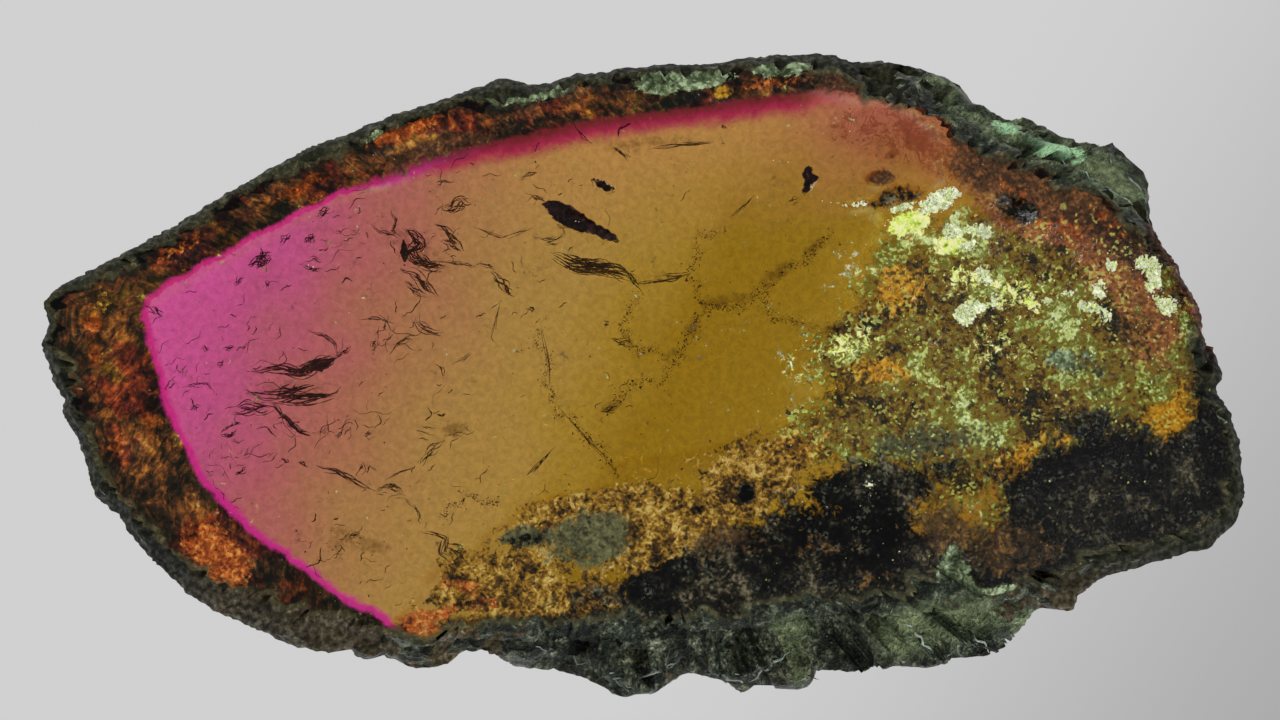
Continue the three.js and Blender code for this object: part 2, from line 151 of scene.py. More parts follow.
EMBER = [
    (-12.54, -5.59, 0.72, 1.15, 40, 1.5), (-6.6, -7.54, 0.85, 0.5, 15, 1.1),
    (-4.95, -6.97, 1.2, 0.27, 10, 0.7), (-5.4, -6.35, 1.0, 0.3, -8, 0.8),
    (12.57, 4.12, 1.08, 0.39, -25, 0.7),
    (9.3, -5.21, 0.24, 0.27, 0, 1.1), (-14.55, -1.54, 0.48, 0.96, 10, 0.6),
    (-16.35, 1.3, 0.42, 0.36, 0, 0.8), (-3.69, 7.6, 2.4, 0.3, 6, 0.4), (0.4, 8.05, 1.8, 0.26, 5, 0.35),
    (-7.05, 7.06, 1.26, 0.3, 22, 1.0), (-10.29, 5.29, 1.5, 0.27, 30, 0.7),
    (3.6, 8.45, 1.4, 0.22, 5, 0.55),
    (-13.74, 3.55, 1.02, 0.3, 28, 0.7), (-15.69, -2.44, 0.6, 0.4, 30, 0.6),
    (-16.2, 0.4, 0.35, 0.8, 0, 0.6),
    (13.9, 4.4, 1.0, 0.35, -35, 0.7), (11.2, 5.2, 1.0, 0.3, -30, 0.5),
]
PLUM = [
    (10.71, -5.4, 1.4, 0.8, 0, 1.3), (6.99, 5.68, 0.42, 0.24, 0, 1.2), (2.31, -5.35, 1.65, 0.51, 5, 0.6),
    (6.3, 8.75, 1.6, 0.6, -5, 1.5), (-3.0, 8.6, 3.2, 0.3, 6, 0.7), (2.6, 9.1, 2.4, 0.3, 5, 0.7),
    (-7.3, 6.0, 1.6, 0.35, 25, 0.7), (-5.5, 6.75, 1.6, 0.3, 14, 0.8),
]
RUSSET = [
    (16.5, 2.3, 0.62, 1.5, 20, 1.3), (15.5, 4.0, 1.1, 0.6, -52, 1.0), (9.6, 5.8, 1.5, 0.5, -35, 0.5),
    (16.6, -0.1, 0.5, 1.0, 0, 0.5), (5.6, 6.9, 1.6, 0.5, 0, 0.3), (7.6, 4.9, 0.5, 0.3, 0, 0.8),
    (1.2, -4.9, 1.5, 0.4, 8, 0.6), (8.6, 7.6, 1.4, 0.5, -25, 0.5),
]
JADE = [
    (9.2, -6.2, 0.5, 1.0, 8, 1.3), (10.2, -6.8, 1.6, 0.35, 12, 1.0),
    (-3.54, 8.27, 1.4, 0.36, 5, 1.2), (0.45, 8.47, 0.8, 0.36, 0, 1.25),
    (1.86, 8.62, 0.8, 0.28, 5, 1.25), (4.05, 8.92, 0.95, 0.26, 5, 1.1),
    (8.9, 8.0, 1.0, 0.5, -35, 1.1), (10.86, 6.97, 1.4, 0.3, -30, 0.9),
    (12.6, 0.34, 0.85, 0.4, 0, 0.8), (6.81, -3.13, 1.02, 0.27, 0, 0.5),
    (-8.0, 6.9, 0.5, 0.15, 25, 0.8), (17.2, -1.2, 0.3, 0.8, 0, 0.6),
]
MOSS = [
    (-1.5, -5.0, 1.3, 0.85, 15, 1.3), (-3.6, -4.95, 0.8, 0.3, 5, 1.2), (7.6, -2.2, 1.5, 0.5, 5, 0.6),
    (9.2, -2.0, 2.0, 0.6, 5, 0.55),
]
UMBER = [
    (-5.55, -1.75, 0.42, 0.27, 0, 0.9), (-0.99, -1.12, 0.42, 0.21, 20, 0.9),
    (3.96, 2.86, 0.84, 0.27, 35, 0.8), (2.37, 2.05, 0.9, 0.24, 10, 0.8),
    (5.16, 3.71, 0.6, 0.21, 40, 0.7), (1.47, 1.16, 0.42, 0.36, 50, 0.7),
    (0.87, 0.46, 0.48, 0.27, 40, 0.6), (-8.94, -5, 0.9, 0.42, 0, 0.6),
    (-7.74, -5.26, 0.75, 0.24, 0, 0.7), (0.27, 6.71, 1.65, 0.21, 5, 0.8),
    (-6.84, 3.71, 1.14, 0.6, -30, 0.6), (-10.44, -0.65, 1.65, 0.42, 5, 0.6),
    (0.66, 2.8, 0.9, 0.27, 5, 0.5),
]
CURLS = [
    (7.26, 7, 2.25, 0.9, -10, 1), (9.21, 6.04, 1.2, 0.78, -30, 0.8),
]
# Stretches of the wall that are broken, not grown
BROKEN_WALL = [
    (3.6, -8.8, 10.0, 1.9, 3, 1.6), (11.8, 7.6, 4.2, 1.6, -32, 1.6),
]
# Brown stain in the soot, and the dark linings of the hollows that open in the core's upper face
BROWN = [
    (10.8, -5.3, 1.5, 0.85, 0, 1.1), (8.8, -4.7, 0.8, 0.95, -10, 1.1), (2.4, -5.05, 1.2, 0.5, 5, 0.9),
    (5.0, -5.3, 1.6, 0.5, 5, 0.5), (15.6, -3.6, 1.2, 0.6, 10, 0.25), (7.0, -6.2, 1.0, 0.4, 0, 0.5),
]
LINING = [
    (-2.13, 4.49, 0.78, 0.27, -24, 1.4), (-1.1, 4.02, 0.45, 0.12, -26, 1.4),
    (-2.5, 4.85, 0.4, 0.08, -10, 1.2),
    (-1.15, 5.45, 0.42, 0.1, -26, 1.3), (4.86, 5.86, 0.15, 0.16, 0, 1.3),
    (4.85, 5.45, 0.1, 0.3, -14, 1.4),
    (5.06, 5.66, 0.2, 0.07, 8, 1.3),
]
# Green places on the broken walls
GREEN_WALL = [
    (4.4, -7.6, 0.9, 0.45, 5, 0.85), (10.75, 7.28, 0.6, 0.35, -30, 1.1), (9.4, -7.3, 2.2, 0.7, 5, 0.8),
    (12.3, 6.65, 0.8, 0.2, -20, 1.0), (11.6, 7.1, 3.4, 1.1, -32, 0.75), (9.0, 8.4, 1.2, 0.8, -35, 0.4),
    (12.5, 6.6, 1.1, 0.3, -20, 1.0), (11.4, -7.5, 0.4, 0.4, 20, 0.9), (7.4, -7.9, 1.6, 0.7, 5, 0.8),
    (14.2, 5.6, 1.2, 0.8, -40, 0.5), (4.6, -8.9, 0.55, 0.5, 0, 0.6),
]
REGIONS = {
    "soot": SOOT, "rust": RUST, "crust": CRUST, "lime": LIME, "mint": MINT, "amber": AMBER, "ember": EMBER,
    "plum": PLUM, "russet": RUSSET, "jade": JADE, "moss": MOSS, "umber": UMBER, "curls": CURLS,
    "green": GREEN_WALL, "brown": BROWN, "lining": LINING,
}
# The regions whose colours cover the core's own
COVERS = ("soot", "rust", "crust", "lime", "mint", "amber", "ember", "plum", "russet", "jade", "moss")
# Crests of the split steps on the broken walls: half width and path
STEPS = [
    (0.05, [(-1.74, -8.36), (-0.9, -8.95), (-0.45, -9.5)]),
    (0.04, [(-0.2, -9.1), (0.4, -8.9), (1.0, -8.65)]),
    (0.05, [(1.89, -8.7), (2.5, -9.0), (2.94, -9.25)]),
    (0.04, [(3.15, -9.15), (3.8, -8.7), (4.4, -8.3)]),
    (0.05, [(7.71, -7.4), (8.2, -7.9), (8.6, -8.35)]),
    (0.04, [(9.36, -7.5), (9.9, -7.9), (10.3, -8.3)]),
    (0.03, [(-3.2, -8.2), (-2.3, -8.35), (-1.6, -8.7)]),
    (0.03, [(5.6, -7.9), (6.3, -8.2), (6.8, -8.6)]),
    (0.03, [(12.4, 6.28), (13.5, 5.6), (14.4, 5.1), (15.1, 4.7)]),
    (0.03, [(13.9, 6.2), (14.6, 5.7), (15.0, 5.1)]),
]
# The large hairs: width of the bundle, strands and path
WISPS = [
    (0.21, 9, [(-11.73, -0.01), (-10.59, 0.07), (-10.11, -0.04), (-9.69, 0.22), (-9.24, 0.38),
        (-8.88, 0.49)]),
    (0.21, 8, [(-10.29, -0.1), (-9.93, -0.01), (-9.54, 0.22), (-9.09, 0.43)]),
    (0.09, 3, [(-9, 0.4), (-9.09, 0.79), (-9.45, 1.06), (-9.99, 1.27)]),
    (0.09, 3, [(-9.15, 0.43), (-8.79, 0.65), (-8.7, 0.79)]),
    (0.21, 8, [(-11.79, -0.53), (-11.25, -0.85), (-10.74, -0.89), (-9.9, -0.79), (-9.09, -0.65),
        (-8.88, -0.43)]),
    (0.18, 6, [(-11.79, -0.65), (-11.04, -0.7), (-10.29, -0.58), (-9.54, -0.46)]),
    (0.21, 7, [(-12.39, -1.19), (-11.79, -1.12), (-11.28, -1.06), (-10.89, -1.09)]),
    (0.18, 7, [(-10.98, -0.94), (-10.68, -1.3), (-10.47, -1.6), (-10.2, -1.78), (-9.81, -1.91)]),
    (0.075, 2, [(-13.65, -0.53), (-13.29, -0.43), (-12.93, -0.43), (-12.66, -0.7)]),
    (0.09, 3, [(-12.54, -1.88), (-12.33, -1.64), (-12, -1.51), (-11.85, -1.67)]),
    (0.09, 3, [(-12.51, -1.91), (-12.21, -1.93), (-12, -1.72)]),
    (0.09, 3, [(-10.74, -2.56), (-10.47, -2.69)]),
    (0.105, 3, [(-10.23, -2.69), (-9.9, -2.8)]),
    (0.12, 5, [(-9.69, -2.8), (-9.42, -2.96), (-9.06, -2.98), (-8.67, -3.19), (-8.28, -3.44),
        (-7.86, -3.58)]),
    (0.12, 5, [(-7.98, -3.52), (-7.5, -3.38), (-7.26, -3.49), (-7.11, -3.73)]),
    (0.06, 2, [(-7.11, -3.73), (-6.78, -4), (-6.54, -4.39)]),
    (0.15, 4, [(-6.6, -2.8), (-6.36, -2.44), (-5.85, -2.05)]),
    (0.06, 2, [(-7.65, -3.23), (-7.2, -2.98), (-6.6, -2.77)]),
    (0.045, 1, [(-6.69, -1.99), (-6.27, -2.08)]),
    (0.045, 1, [(-6.72, -1.75), (-6.15, -1.88)]),
    (0.045, 1, [(-6.57, -1.64), (-6.09, -1.72)]),
    (0.075, 3, [(-3.48, -3.1), (-3.09, -2.77), (-2.55, -2.17)]),
    (0.06, 2, [(-2.55, -1), (-2.19, -1.43), (-1.77, -1.91), (-1.08, -2.59), (-0.63, -3.04)]),
    (0.12, 5, [(-6.6, -4.75), (-6.18, -4.84), (-5.85, -5), (-6, -5.38), (-5.58, -5.68), (-5.37, -5.92)]),
    (0.09, 3, [(-5.85, -5.08), (-5.4, -5.21), (-5.16, -5.42)]),
    (0.06, 2, [(-5.79, -5.23), (-5.49, -5.38), (-5.25, -5.59)]),
    (0.09, 3, [(-8.7, -4.93), (-8.37, -4.79)]),
    (0.12, 3, [(-1.29, -1.21), (-0.99, -1.09), (-0.72, -0.97)]),
    (0.09, 2, [(-8.43, -2.92), (-8.28, -2.71)]),
    (0.09, 2, [(-8.28, -1.93), (-8.01, -1.84)]),
    (0.09, 3, [(-7.5, 4.81), (-7.32, 4.51), (-7.41, 4.21), (-7.2, 4.04)]),
    (0.21, 9, [(-7.14, 4.3), (-6.84, 4.12), (-6.6, 3.79), (-6.96, 3.61), (-7.08, 3.25)]),
    (0.21, 9, [(-7.02, 3.71), (-6.75, 3.34), (-6.39, 3.17), (-5.85, 3.1)]),
    (0.09, 3, [(-5.94, 3.23), (-5.49, 3.19), (-4.89, 3.07)]),
    (0.09, 3, [(-8.07, 4.39), (-7.77, 4.12), (-7.38, 4.09), (-7.2, 3.97)]),
    (0.18, 7, [(-5.97, 4.81), (-5.64, 4.84), (-5.37, 5.05), (-5.04, 4.93)]),
    (0.15, 5, [(-6.18, 4.37), (-5.85, 4.21), (-5.55, 3.88), (-5.25, 3.52)]),
    (0.12, 4, [(-6.03, 3.88), (-5.64, 3.73), (-5.4, 3.52)]),
    (0.075, 2, [(-5.1, 4.3), (-4.65, 4.09), (-4.2, 3.94), (-3.75, 4.06), (-3.36, 4.21), (-3.15, 4.37)]),
    (0.09, 3, [(-4.95, 3.17), (-4.59, 3.19), (-4.35, 3.01)]),
    (0.18, 6, [(-4.53, 2.92), (-4.2, 2.65), (-3.99, 2.32), (-3.81, 2.21)]),
    (0.06, 2, [(-4.2, 2.11), (-4.32, 1.69), (-4.38, 1.36), (-4.5, 1), (-4.35, 0.77)]),
    (0.18, 7, [(-7.2, 3.01), (-6.87, 2.86), (-6.57, 2.56), (-6.18, 2.27), (-5.97, 2.11)]),
    (0.12, 4, [(-7.08, 2.71), (-6.75, 2.42), (-6.39, 2.17)]),
    (0.075, 2, [(-8.43, 1.54), (-7.98, 1.6), (-7.59, 1.51), (-7.32, 1.33)]),
    (0.075, 2, [(-7.83, 1.36), (-7.77, 1), (-7.95, 0.65), (-8.28, 0.49)]),
    (0.12, 4, [(-6.63, 1.78), (-6.69, 1.45), (-6.39, 1.19), (-5.85, 1.09)]),
    (0.09, 3, [(-7.53, 0.46), (-7.23, 0.79), (-6.99, 0.94), (-6.72, 0.77)]),
    (0.06, 2, [(-5.67, 0.16), (-5.28, 0.34), (-4.98, 0.67)]),
    (0.06, 2, [(-6.18, 0.22), (-5.94, 0.04), (-5.91, -0.32)]),
    (0.09, 3, [(-3.51, 5.33), (-3.18, 5.12), (-2.85, 5)]),
    (0.09, 2, [(-3.66, 5.62), (-3.36, 5.8), (-3, 5.89)]),
    (0.27, 12, [(-2.76, 3.46), (-2.19, 3.28), (-1.5, 3.13), (-0.75, 2.98), (-0.06, 2.56)]),
    (0.15, 6, [(-2.7, 3.34), (-2.19, 3.07), (-1.35, 2.9), (-0.63, 2.83), (-0.09, 2.59)]),
    (0.12, 5, [(-0.24, 2.62), (0.36, 2.69), (0.96, 2.77), (1.47, 2.96)]),
    (0.09, 3, [(-0.63, 3.04), (-0.33, 2.8), (0, 2.32)]),
    (0.09, 3, [(-3.06, 3.92), (-2.58, 3.94), (-2.22, 4.16)]),
    (0.075, 2, [(-2.91, 3.76), (-2.46, 3.76)]),
    (0.06, 1, [(-2.22, 3.58), (-2.01, 3.82)]),
    (0.12, 3, [(-1.14, 1.51), (-1.02, 1.36)]),
    (0.12, 3, [(-0.96, 0.94), (-0.69, 0.89), (-0.33, 0.82)]),
    (0.18, 6, [(-11.34, 3.65), (-11.22, 3.31), (-11.43, 2.98)]),
    (0.18, 6, [(-11.73, 3.13), (-11.34, 3.34), (-10.92, 3.49)]),
    (0.12, 4, [(-10.8, 3.76), (-10.47, 4.12)]),
    (0.15, 4, [(-10.02, 3.76), (-9.75, 4.09)]),
    (0.15, 5, [(-9.69, 4.6), (-9.27, 4.79)]),
    (0.09, 3, [(-10.11, 3.13), (-9.78, 3.01), (-9.45, 3.07)]),
    (0.075, 2, [(-10.02, 3.25), (-9.75, 3.34), (-9.48, 3.23)]),
    (0.15, 5, [(4.8, 5.96), (4.92, 5.68), (4.86, 5.29)]),
    (0.15, 4, [(4.86, 5.62), (5.16, 5.62), (5.22, 5.71)]),
    (0.09, 2, [(4.32, 5.02), (4.65, 5.14)]),
    (0.06, 2, [(-2.07, 7.39), (-1.8, 7.04), (-1.47, 6.76)]),
    (0.09, 3, [(0.15, 6.58), (0.81, 6.67), (1.41, 6.71), (2.13, 6.79)]),
    (0.09, 3, [(-0.87, 6.64), (-0.63, 6.46), (-0.36, 6.17)]),
    (0.06, 2, [(2.52, 4.51), (2.94, 4.84), (3.3, 5.23)]),
    (0.12, 4, [(-14.79, 1.96), (-14.49, 1.84), (-14.22, 1.64)]),
    (0.09, 3, [(-12.09, 2.5), (-11.82, 2.83)]),
    (0.09, 2, [(-11.16, 2.69), (-11.07, 2.42)]),
    (0.12, 4, [(-12.09, -3.07), (-11.7, -2.8)]),
    (0.09, 3, [(-12.45, 0.65), (-12.09, 0.73)]),
    (0.09, 3, [(-12.63, 0.16), (-12.39, 0.34)]),
    (0.06, 2, [(-3, 1.3), (-2.91, 0.85), (-2.79, 0.1), (-2.76, -0.79)]),
    (0.09, 2, [(-13.08, 0.7), (-12.84, 0.61)]),
    (0.075, 2, [(-13.44, -1.16), (-13.08, -1.06)]),
    (0.09, 3, [(-12.36, -1.99), (-12.12, -1.78)]),
]
# Healed cracks in the core
VEINS = [
    [(1.35, 2.86), (1.62, 2.29), (2.01, 1.88), (2.52, 1.84), (3.27, 2.27), (4.11, 2.8), (4.71, 3.34),
        (5.67, 4.16)],
    [(2.01, 1.81), (1.5, 1.3), (1.11, 0.49), (0.6, -0.1), (-0.33, -0.49), (-0.93, -0.85)],
    [(-0.06, 2.29), (-0.39, 1.69), (-0.69, 1.21), (-0.33, 0.77), (0.63, 0.58)],
    [(-2.49, -1), (-1.77, -1.91), (-0.63, -3.04)],
    [(-3.09, 1.3), (-2.79, 0.04), (-2.85, -0.94)],
    [(3.27, 2.27), (3.87, 1.54), (5.07, 1.24), (5.97, 0.94)],
    [(2.31, 4.42), (1.71, 3.85), (1.41, 2.96)],
    [(-6.03, -4.39), (-5.19, -3.79), (-4.29, -3.94)],
]
# The painted glints that stand out most: white specks standing in for light caught by tiny fracture faces
PAINTED_GLINTS = [
    (-2.0, 4.42), (-1.9, 4.4), (-1.2, 5.6), (-1.05, 5.52), (-0.95, 5.45), (3.86, 6.2), (4.05, 6.18),
    (4.3, 6.15),
    (-5.8, 0.45), (-5.85, 0.6), (-8.7, 1.7), (-6.5, 3.5), (-12.9, 0.2), (-12.75, 0.15), (-12.85, 0.05),
    (-9.9, 3.1), (-9.75, 3.05), (-3.7, -5.3), (-3.5, -5.35), (6.6, -3.3), (6.75, -3.4), (6.7, -3.5),
    (4.7, -3.9), (14.6, -3.3), (10.4, -3.1), (5.3, 5.0), (5.55, 4.95), (1.65, 8.15), (-7.1, -4.9),
]


def repeatable(seed):
    """Random numbers that are the same on every run."""
    return np.random.default_rng(seed)


def waves(points, size, seed, count=26):
    """Smooth noise of about -1 to 1: a sum of sine waves in random directions, with lengths near size."""
    random = repeatable(seed)
    points = np.atleast_2d(points)
    aims = random.normal(size=(count, points.shape[-1]))
    aims /= np.linalg.norm(aims, axis=1, keepdims=True)
    turns = 2 * np.pi / (size * random.uniform(0.6, 1.8, count))
    starts = random.uniform(0, 2 * np.pi, count)
    total = sum(np.sin(points @ aim * turn + start) for aim, turn, start in zip(aims, turns, starts))
    return total * np.sqrt(1.2 / count)


def ridges(points, size, seed):
    """Sharp-crested noise from 0 to 1: one less the size of smooth noise."""
    return np.clip(1 - np.abs(waves(points, size, seed)), 0, 1)


def ramp(value, start, end):
    """Smooth step: 0 before start, 1 after end, eased between them."""
    share = np.clip((value - start) / (end - start), 0, 1)
    return share * share * (3 - 2 * share)


def soft_regions(points, regions):
    """Sum of soft ellipses: each adds strength * exp(-q ** 2.4), q being the distance in half sizes."""
    total = np.zeros(len(points))
    for middle_x, middle_y, size_x, size_y, turn, strength in regions:
        angle = np.radians(turn)
        away = points[:, :2] / MM - (middle_x, middle_y)
        along = (away[:, 0] * np.cos(angle) + away[:, 1] * np.sin(angle)) / size_x
        across = (away[:, 1] * np.cos(angle) - away[:, 0] * np.sin(angle)) / size_y
        total += strength * np.exp(-(along ** 2 + across ** 2) ** 1.2)
    return total


def distance_to_path(points, path):
    """Shortest distance from each point to a path of straight bits, how far along the path the nearest
    place lies, and which side the point is on: +1 to the left of the path, -1 to the right."""
    starts, spans = path[:-1], np.diff(path, axis=0)
    lengths = np.linalg.norm(spans, axis=1)
    travelled = np.concatenate([[0], np.cumsum(lengths)[:-1]])
    best = np.full(len(points), np.inf)
    along = np.zeros(len(points))
    side = np.ones(len(points))
    for start, span, length, before in zip(starts, spans, lengths, travelled):
        away = points - start
        share = np.clip(away @ span / length ** 2, 0, 1)
        gap = np.hypot(*(away - share[:, None] * span).T)
        nearer = gap < best
        best[nearer] = gap[nearer]
        along[nearer] = before + share[nearer] * length
        turned = span[0] * away[:, 1] - span[1] * away[:, 0]
        side[nearer] = np.where(turned[nearer] > 0, 1, -1)
    return best, along, side


def solid_triangles(piece):
    """The corners of a mesh's triangles, as an array of triangle, corner, coordinate."""
    mesh = piece.data
    mesh.calc_loop_triangles()
    corners = np.empty(len(mesh.loop_triangles) * 3, np.int64)
    mesh.loop_triangles.foreach_get("vertices", corners)
    places = np.empty(len(mesh.vertices) * 3)
    mesh.vertices.foreach_get("co", places)
    return places.reshape(-1, 3)[corners].reshape(-1, 3, 3)


def outermost_wall(triangles, height, aims):
    """How far the wall stands out along each aim at one height. A triangle that crosses the height
    leaves a straight bit from a to b; the ray d * aim meets it where cross(a, aim) and
    cross(b, aim) differ in sign, at d = cross(a, b - a) / cross(aim, b - a). The largest d counts."""
    nexts = np.roll(triangles, -1, axis=1)
    above = triangles[:, :, 2] > height
    crossing = above != (nexts[:, :, 2] > height)
    rise = np.where(crossing, nexts[:, :, 2] - triangles[:, :, 2], 1.0)
    share = (height - triangles[:, :, 2]) / rise
    places = triangles[:, :, :2] + share[:, :, None] * (nexts - triangles)[:, :, :2]
    starts, ends = places[crossing].reshape(-1, 2, 2).transpose(1, 0, 2)
    spans = ends - starts
    before = starts[:, None, 0] * aims[:, 1] - starts[:, None, 1] * aims[:, 0]
    after = ends[:, None, 0] * aims[:, 1] - ends[:, None, 1] * aims[:, 0]
    over = aims[:, 0] * spans[:, None, 1] - aims[:, 1] * spans[:, None, 0]
    top = (starts[:, 0] * spans[:, 1] - starts[:, 1] * spans[:, 0])[:, None]
    meets = ((before > 0) != (after > 0)) & (over != 0)
    reach = np.where(meets, top / np.where(over == 0, 1, over), 0)
    return reach.max(axis=0)


def top_heights(triangles, points):
    """Height of the solid's upper surface over each point: the lowest of the pitted triangles whose
    flat outline holds the point, found by the signs of the three corner areas."""
    low, middle, high = triangles[:, 0], triangles[:, 1], triangles[:, 2]
    facing = (middle[:, 0] - low[:, 0]) * (high[:, 1] - low[:, 1])
    facing = facing - (middle[:, 1] - low[:, 1]) * (high[:, 0] - low[:, 0])
    dipped = (facing > 1e-14) & (triangles[:, :, 2].min(axis=1) < THICKNESS - 1e-6)
    dipped &= triangles[:, :, 2].min(axis=1) > 0.6 * THICKNESS
    order = np.argsort(points[:, 0])
    sorted_x = points[order, 0]
    heights = np.full(len(points), THICKNESS)
    for (a, b, c), area in zip(triangles[dipped], facing[dipped]):
        first, last = np.searchsorted(sorted_x, (min(a[0], b[0], c[0]), max(a[0], b[0], c[0])))
        near = order[first:last]
        x, y = points[near].T
        share_c = ((b[0] - a[0]) * (y - a[1]) - (b[1] - a[1]) * (x - a[0])) / area
        share_b = ((x - a[0]) * (c[1] - a[1]) - (y - a[1]) * (c[0] - a[0])) / area
        inside = (share_b >= 0) & (share_c >= 0) & (share_b + share_c <= 1)
        there = near[inside]
        height = a[2] + share_b[inside] * (b[2] - a[2]) + share_c[inside] * (c[2] - a[2])
        heights[there] = np.minimum(heights[there], height)
    return heights


def piece_from_arrays(name, points, faces, finishes, smooth=True):
    """A mesh object at the origin from arrays of points and faces, with its finishes."""
    mesh = bpy.data.meshes.new(name)
    mesh.from_pydata(points.tolist(), [], faces)
    mesh.polygons.foreach_set("use_smooth", np.full(len(mesh.polygons), smooth))
    mesh.update()
    for finish in finishes:
        mesh.materials.append(finish)
    piece = bpy.data.objects.new(name, mesh)
    bpy.context.scene.collection.objects.link(piece)
    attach(piece, "root")
    return piece


def give_numbers(piece, name, values):
    """Stores one number a vertex on the piece, for its material to read."""
    piece.data.attributes.new(name, "FLOAT", "POINT").data.foreach_set("value", values.astype(np.float32))


def rounded(ring, reach=15):
    """A closed ring of places, each averaged with its neighbours."""
    kernel = np.hanning(2 * reach + 1) / np.hanning(2 * reach + 1).sum()
    return np.stack([
        np.convolve(np.concatenate([line[-reach:], line, line[:reach]]), kernel, "valid") for line in ring.T
    ], axis=1)


def inner_ring(edge, share):
    """A ring inside a cut face: the edge drawn in to this share, its nicks smoothed out on the way."""
    jagged = ramp(share, 0.86, 1.0)
    return np.column_stack([
        (edge * jagged + rounded(edge) * (1 - jagged))[:, :2] * share, edge[:, 2],
    ])


def crystal_rows():
    """Places of the crystal's grid, row by row, as (rows, stations, 3). The wall rows stand where
    the solid's wall stands, less fine upright lines on the grown faces and fine ledges on the
    broken ones. The rows of each cut face shrink evenly from its edge to its middle."""
    triangles = solid_triangles(SOLID)
    angles = np.arange(STATIONS) * 2 * np.pi / STATIONS
    aims = np.stack([HALF_LENGTH * np.cos(angles), HALF_WIDTH * np.sin(angles)], axis=1)
    shares = np.linspace(0, 1, WALL_ROWS)
    heights = THICKNESS * np.clip(shares, 0.0004, 0.9996)
    reaches = np.array([outermost_wall(triangles, height, aims) for height in heights])
    wall = reaches[:, :, None] * aims

    middle = wall[WALL_ROWS // 2]
    smooth = rounded(middle)
    ahead = np.roll(smooth, -1, axis=0) - np.roll(smooth, 1, axis=0)
    outward = np.stack([ahead[:, 1], -ahead[:, 0]], axis=1)
    outward /= np.linalg.norm(outward, axis=1, keepdims=True)
    around = np.concatenate([[0], np.cumsum(np.linalg.norm(np.diff(middle, axis=0), axis=1))])

    broken = np.clip(soft_regions(middle, BROKEN_WALL), 0, 1)
    places = np.concatenate([wall, np.repeat(heights[:, None, None], STATIONS, 1)], axis=2)
    flat_places = places.reshape(-1, 3)
    line_places = np.stack([
        np.tile(around, WALL_ROWS), np.repeat(heights, STATIONS) * 0.06,
    ], axis=1)
    lines = 0.045 * ridges(line_places, 0.5 * MM, 11) + 0.03 * ridges(line_places, 0.2 * MM, 12)
    slack = ((reaches.max(axis=0) - reaches) * np.linalg.norm(aims, axis=1)).reshape(-1) / MM
    ledges = 0.3 * ridges(flat_places * (0.7, 0.7, 2), 1.4 * MM, 13) ** 2
    ledges += 0.12 * ridges(flat_places * (1, 1, 1.5), 0.5 * MM, 14)
    ledges = np.minimum(ledges, 0.04 + 0.7 * slack)
    pocks = 0.05 * ridges(flat_places, 0.35 * MM, 15) * ramp(waves(flat_places, 2.2 * MM, 16), 0.1, 0.7)
    weight = np.tile(broken, WALL_ROWS)
    inset = (lines + pocks) * (1 - weight) + ledges * weight
    inset = inset.reshape(WALL_ROWS, STATIONS)

    nick_line = np.stack([around, around * 0], axis=1)
    nicks = ramp(waves(nick_line, 0.8 * MM, 17), 0.25, 1.1) * 0.2
    nicks += ramp(waves(nick_line, 0.3 * MM, 18), 0.3, 1.2) * 0.08
    inset += nicks * ramp(shares, 0.86, 1.0)[:, None] + np.roll(nicks, 300) * ramp(-shares, -0.1, 0)[:, None]
    rays = aims / np.linalg.norm(aims, axis=1, keepdims=True)
    lean = np.maximum(np.sum(rays * outward, axis=1), 0.45)
    places[:, :, :2] -= (inset * MM / lean)[:, :, None] * rays
    places[0, :, 2] = 0
    places[-1, :, 2] = THICKNESS

    foot = [inner_ring(places[0], share) for share in np.linspace(0, 1, FOOT_ROWS + 1)[1:-1]]
    face = np.array([inner_ring(places[-1], share) for share in np.linspace(1, 0, FACE_ROWS + 1)[1:-1]])
    face[:, :, 2] = top_heights(triangles, face.reshape(-1, 3)[:, :2]).reshape(face.shape[:2])
    return np.concatenate([foot, places, face]), places, broken


def face_numbers(points, edge_ring):
    """What the materials read at each vertex: the strength of each region, how far the place lies
    beyond the rind's inner border, along that border and in from the upper edge, and how coarse
    and how covered the face is there."""
    flat = points[:, :2]
    x, y = flat.T
    gap, along, side = distance_to_path(flat, np.array(RIND_BORDER) * MM)
    rim = np.concatenate([edge_ring[::3, :2], edge_ring[:1, :2]])
    edge = distance_to_path(flat, rim)[0]
    shares = {name: soft_regions(points, regions) for name, regions in REGIONS.items()}
    front = ramp(x, -2 * MM, 2 * MM) * ramp(-y, 1.5 * MM, 3.5 * MM)
    shares["soot"] += 1.1 * front * (1 - ramp(edge, 0.4 * MM, 1.3 * MM))
    upper_right = ramp(x, 8.5 * MM, 10 * MM) * ramp(y, 2 * MM, 4 * MM)
    upper_right *= 1 - ramp(x, 15 * MM, 16 * MM)
    shares["plum"] += 1.3 * upper_right * (1 - ramp(edge, 0.8 * MM, 1.5 * MM))
    right = ramp(x, 9 * MM, 11 * MM) * ramp(y, -0.5 * MM, 1 * MM)
    shares["russet"] += 1.4 * right * ramp(edge, 0.3 * MM, 0.8 * MM) * (1 - ramp(edge, 1.5 * MM, 2.4 * MM))
    shares["russet"] *= 1 - 0.4 * ramp(shares["crust"], 0.5, 1.0)
    shares["crust"] += 0.55 * ramp(x, 7.2 * MM, 8.8 * MM) * (1 - ramp(y, 4 * MM, 5.5 * MM))
    shares["coarse"] = np.clip(shares["crust"] + 0.35 * shares["soot"] + shares["mint"], 0, 1)
    shares["pale"] = np.clip(sum(shares[name] for name in COVERS), 0, 1)
    shares.update(rind=gap * side, along=along, edge=edge)
    return shares


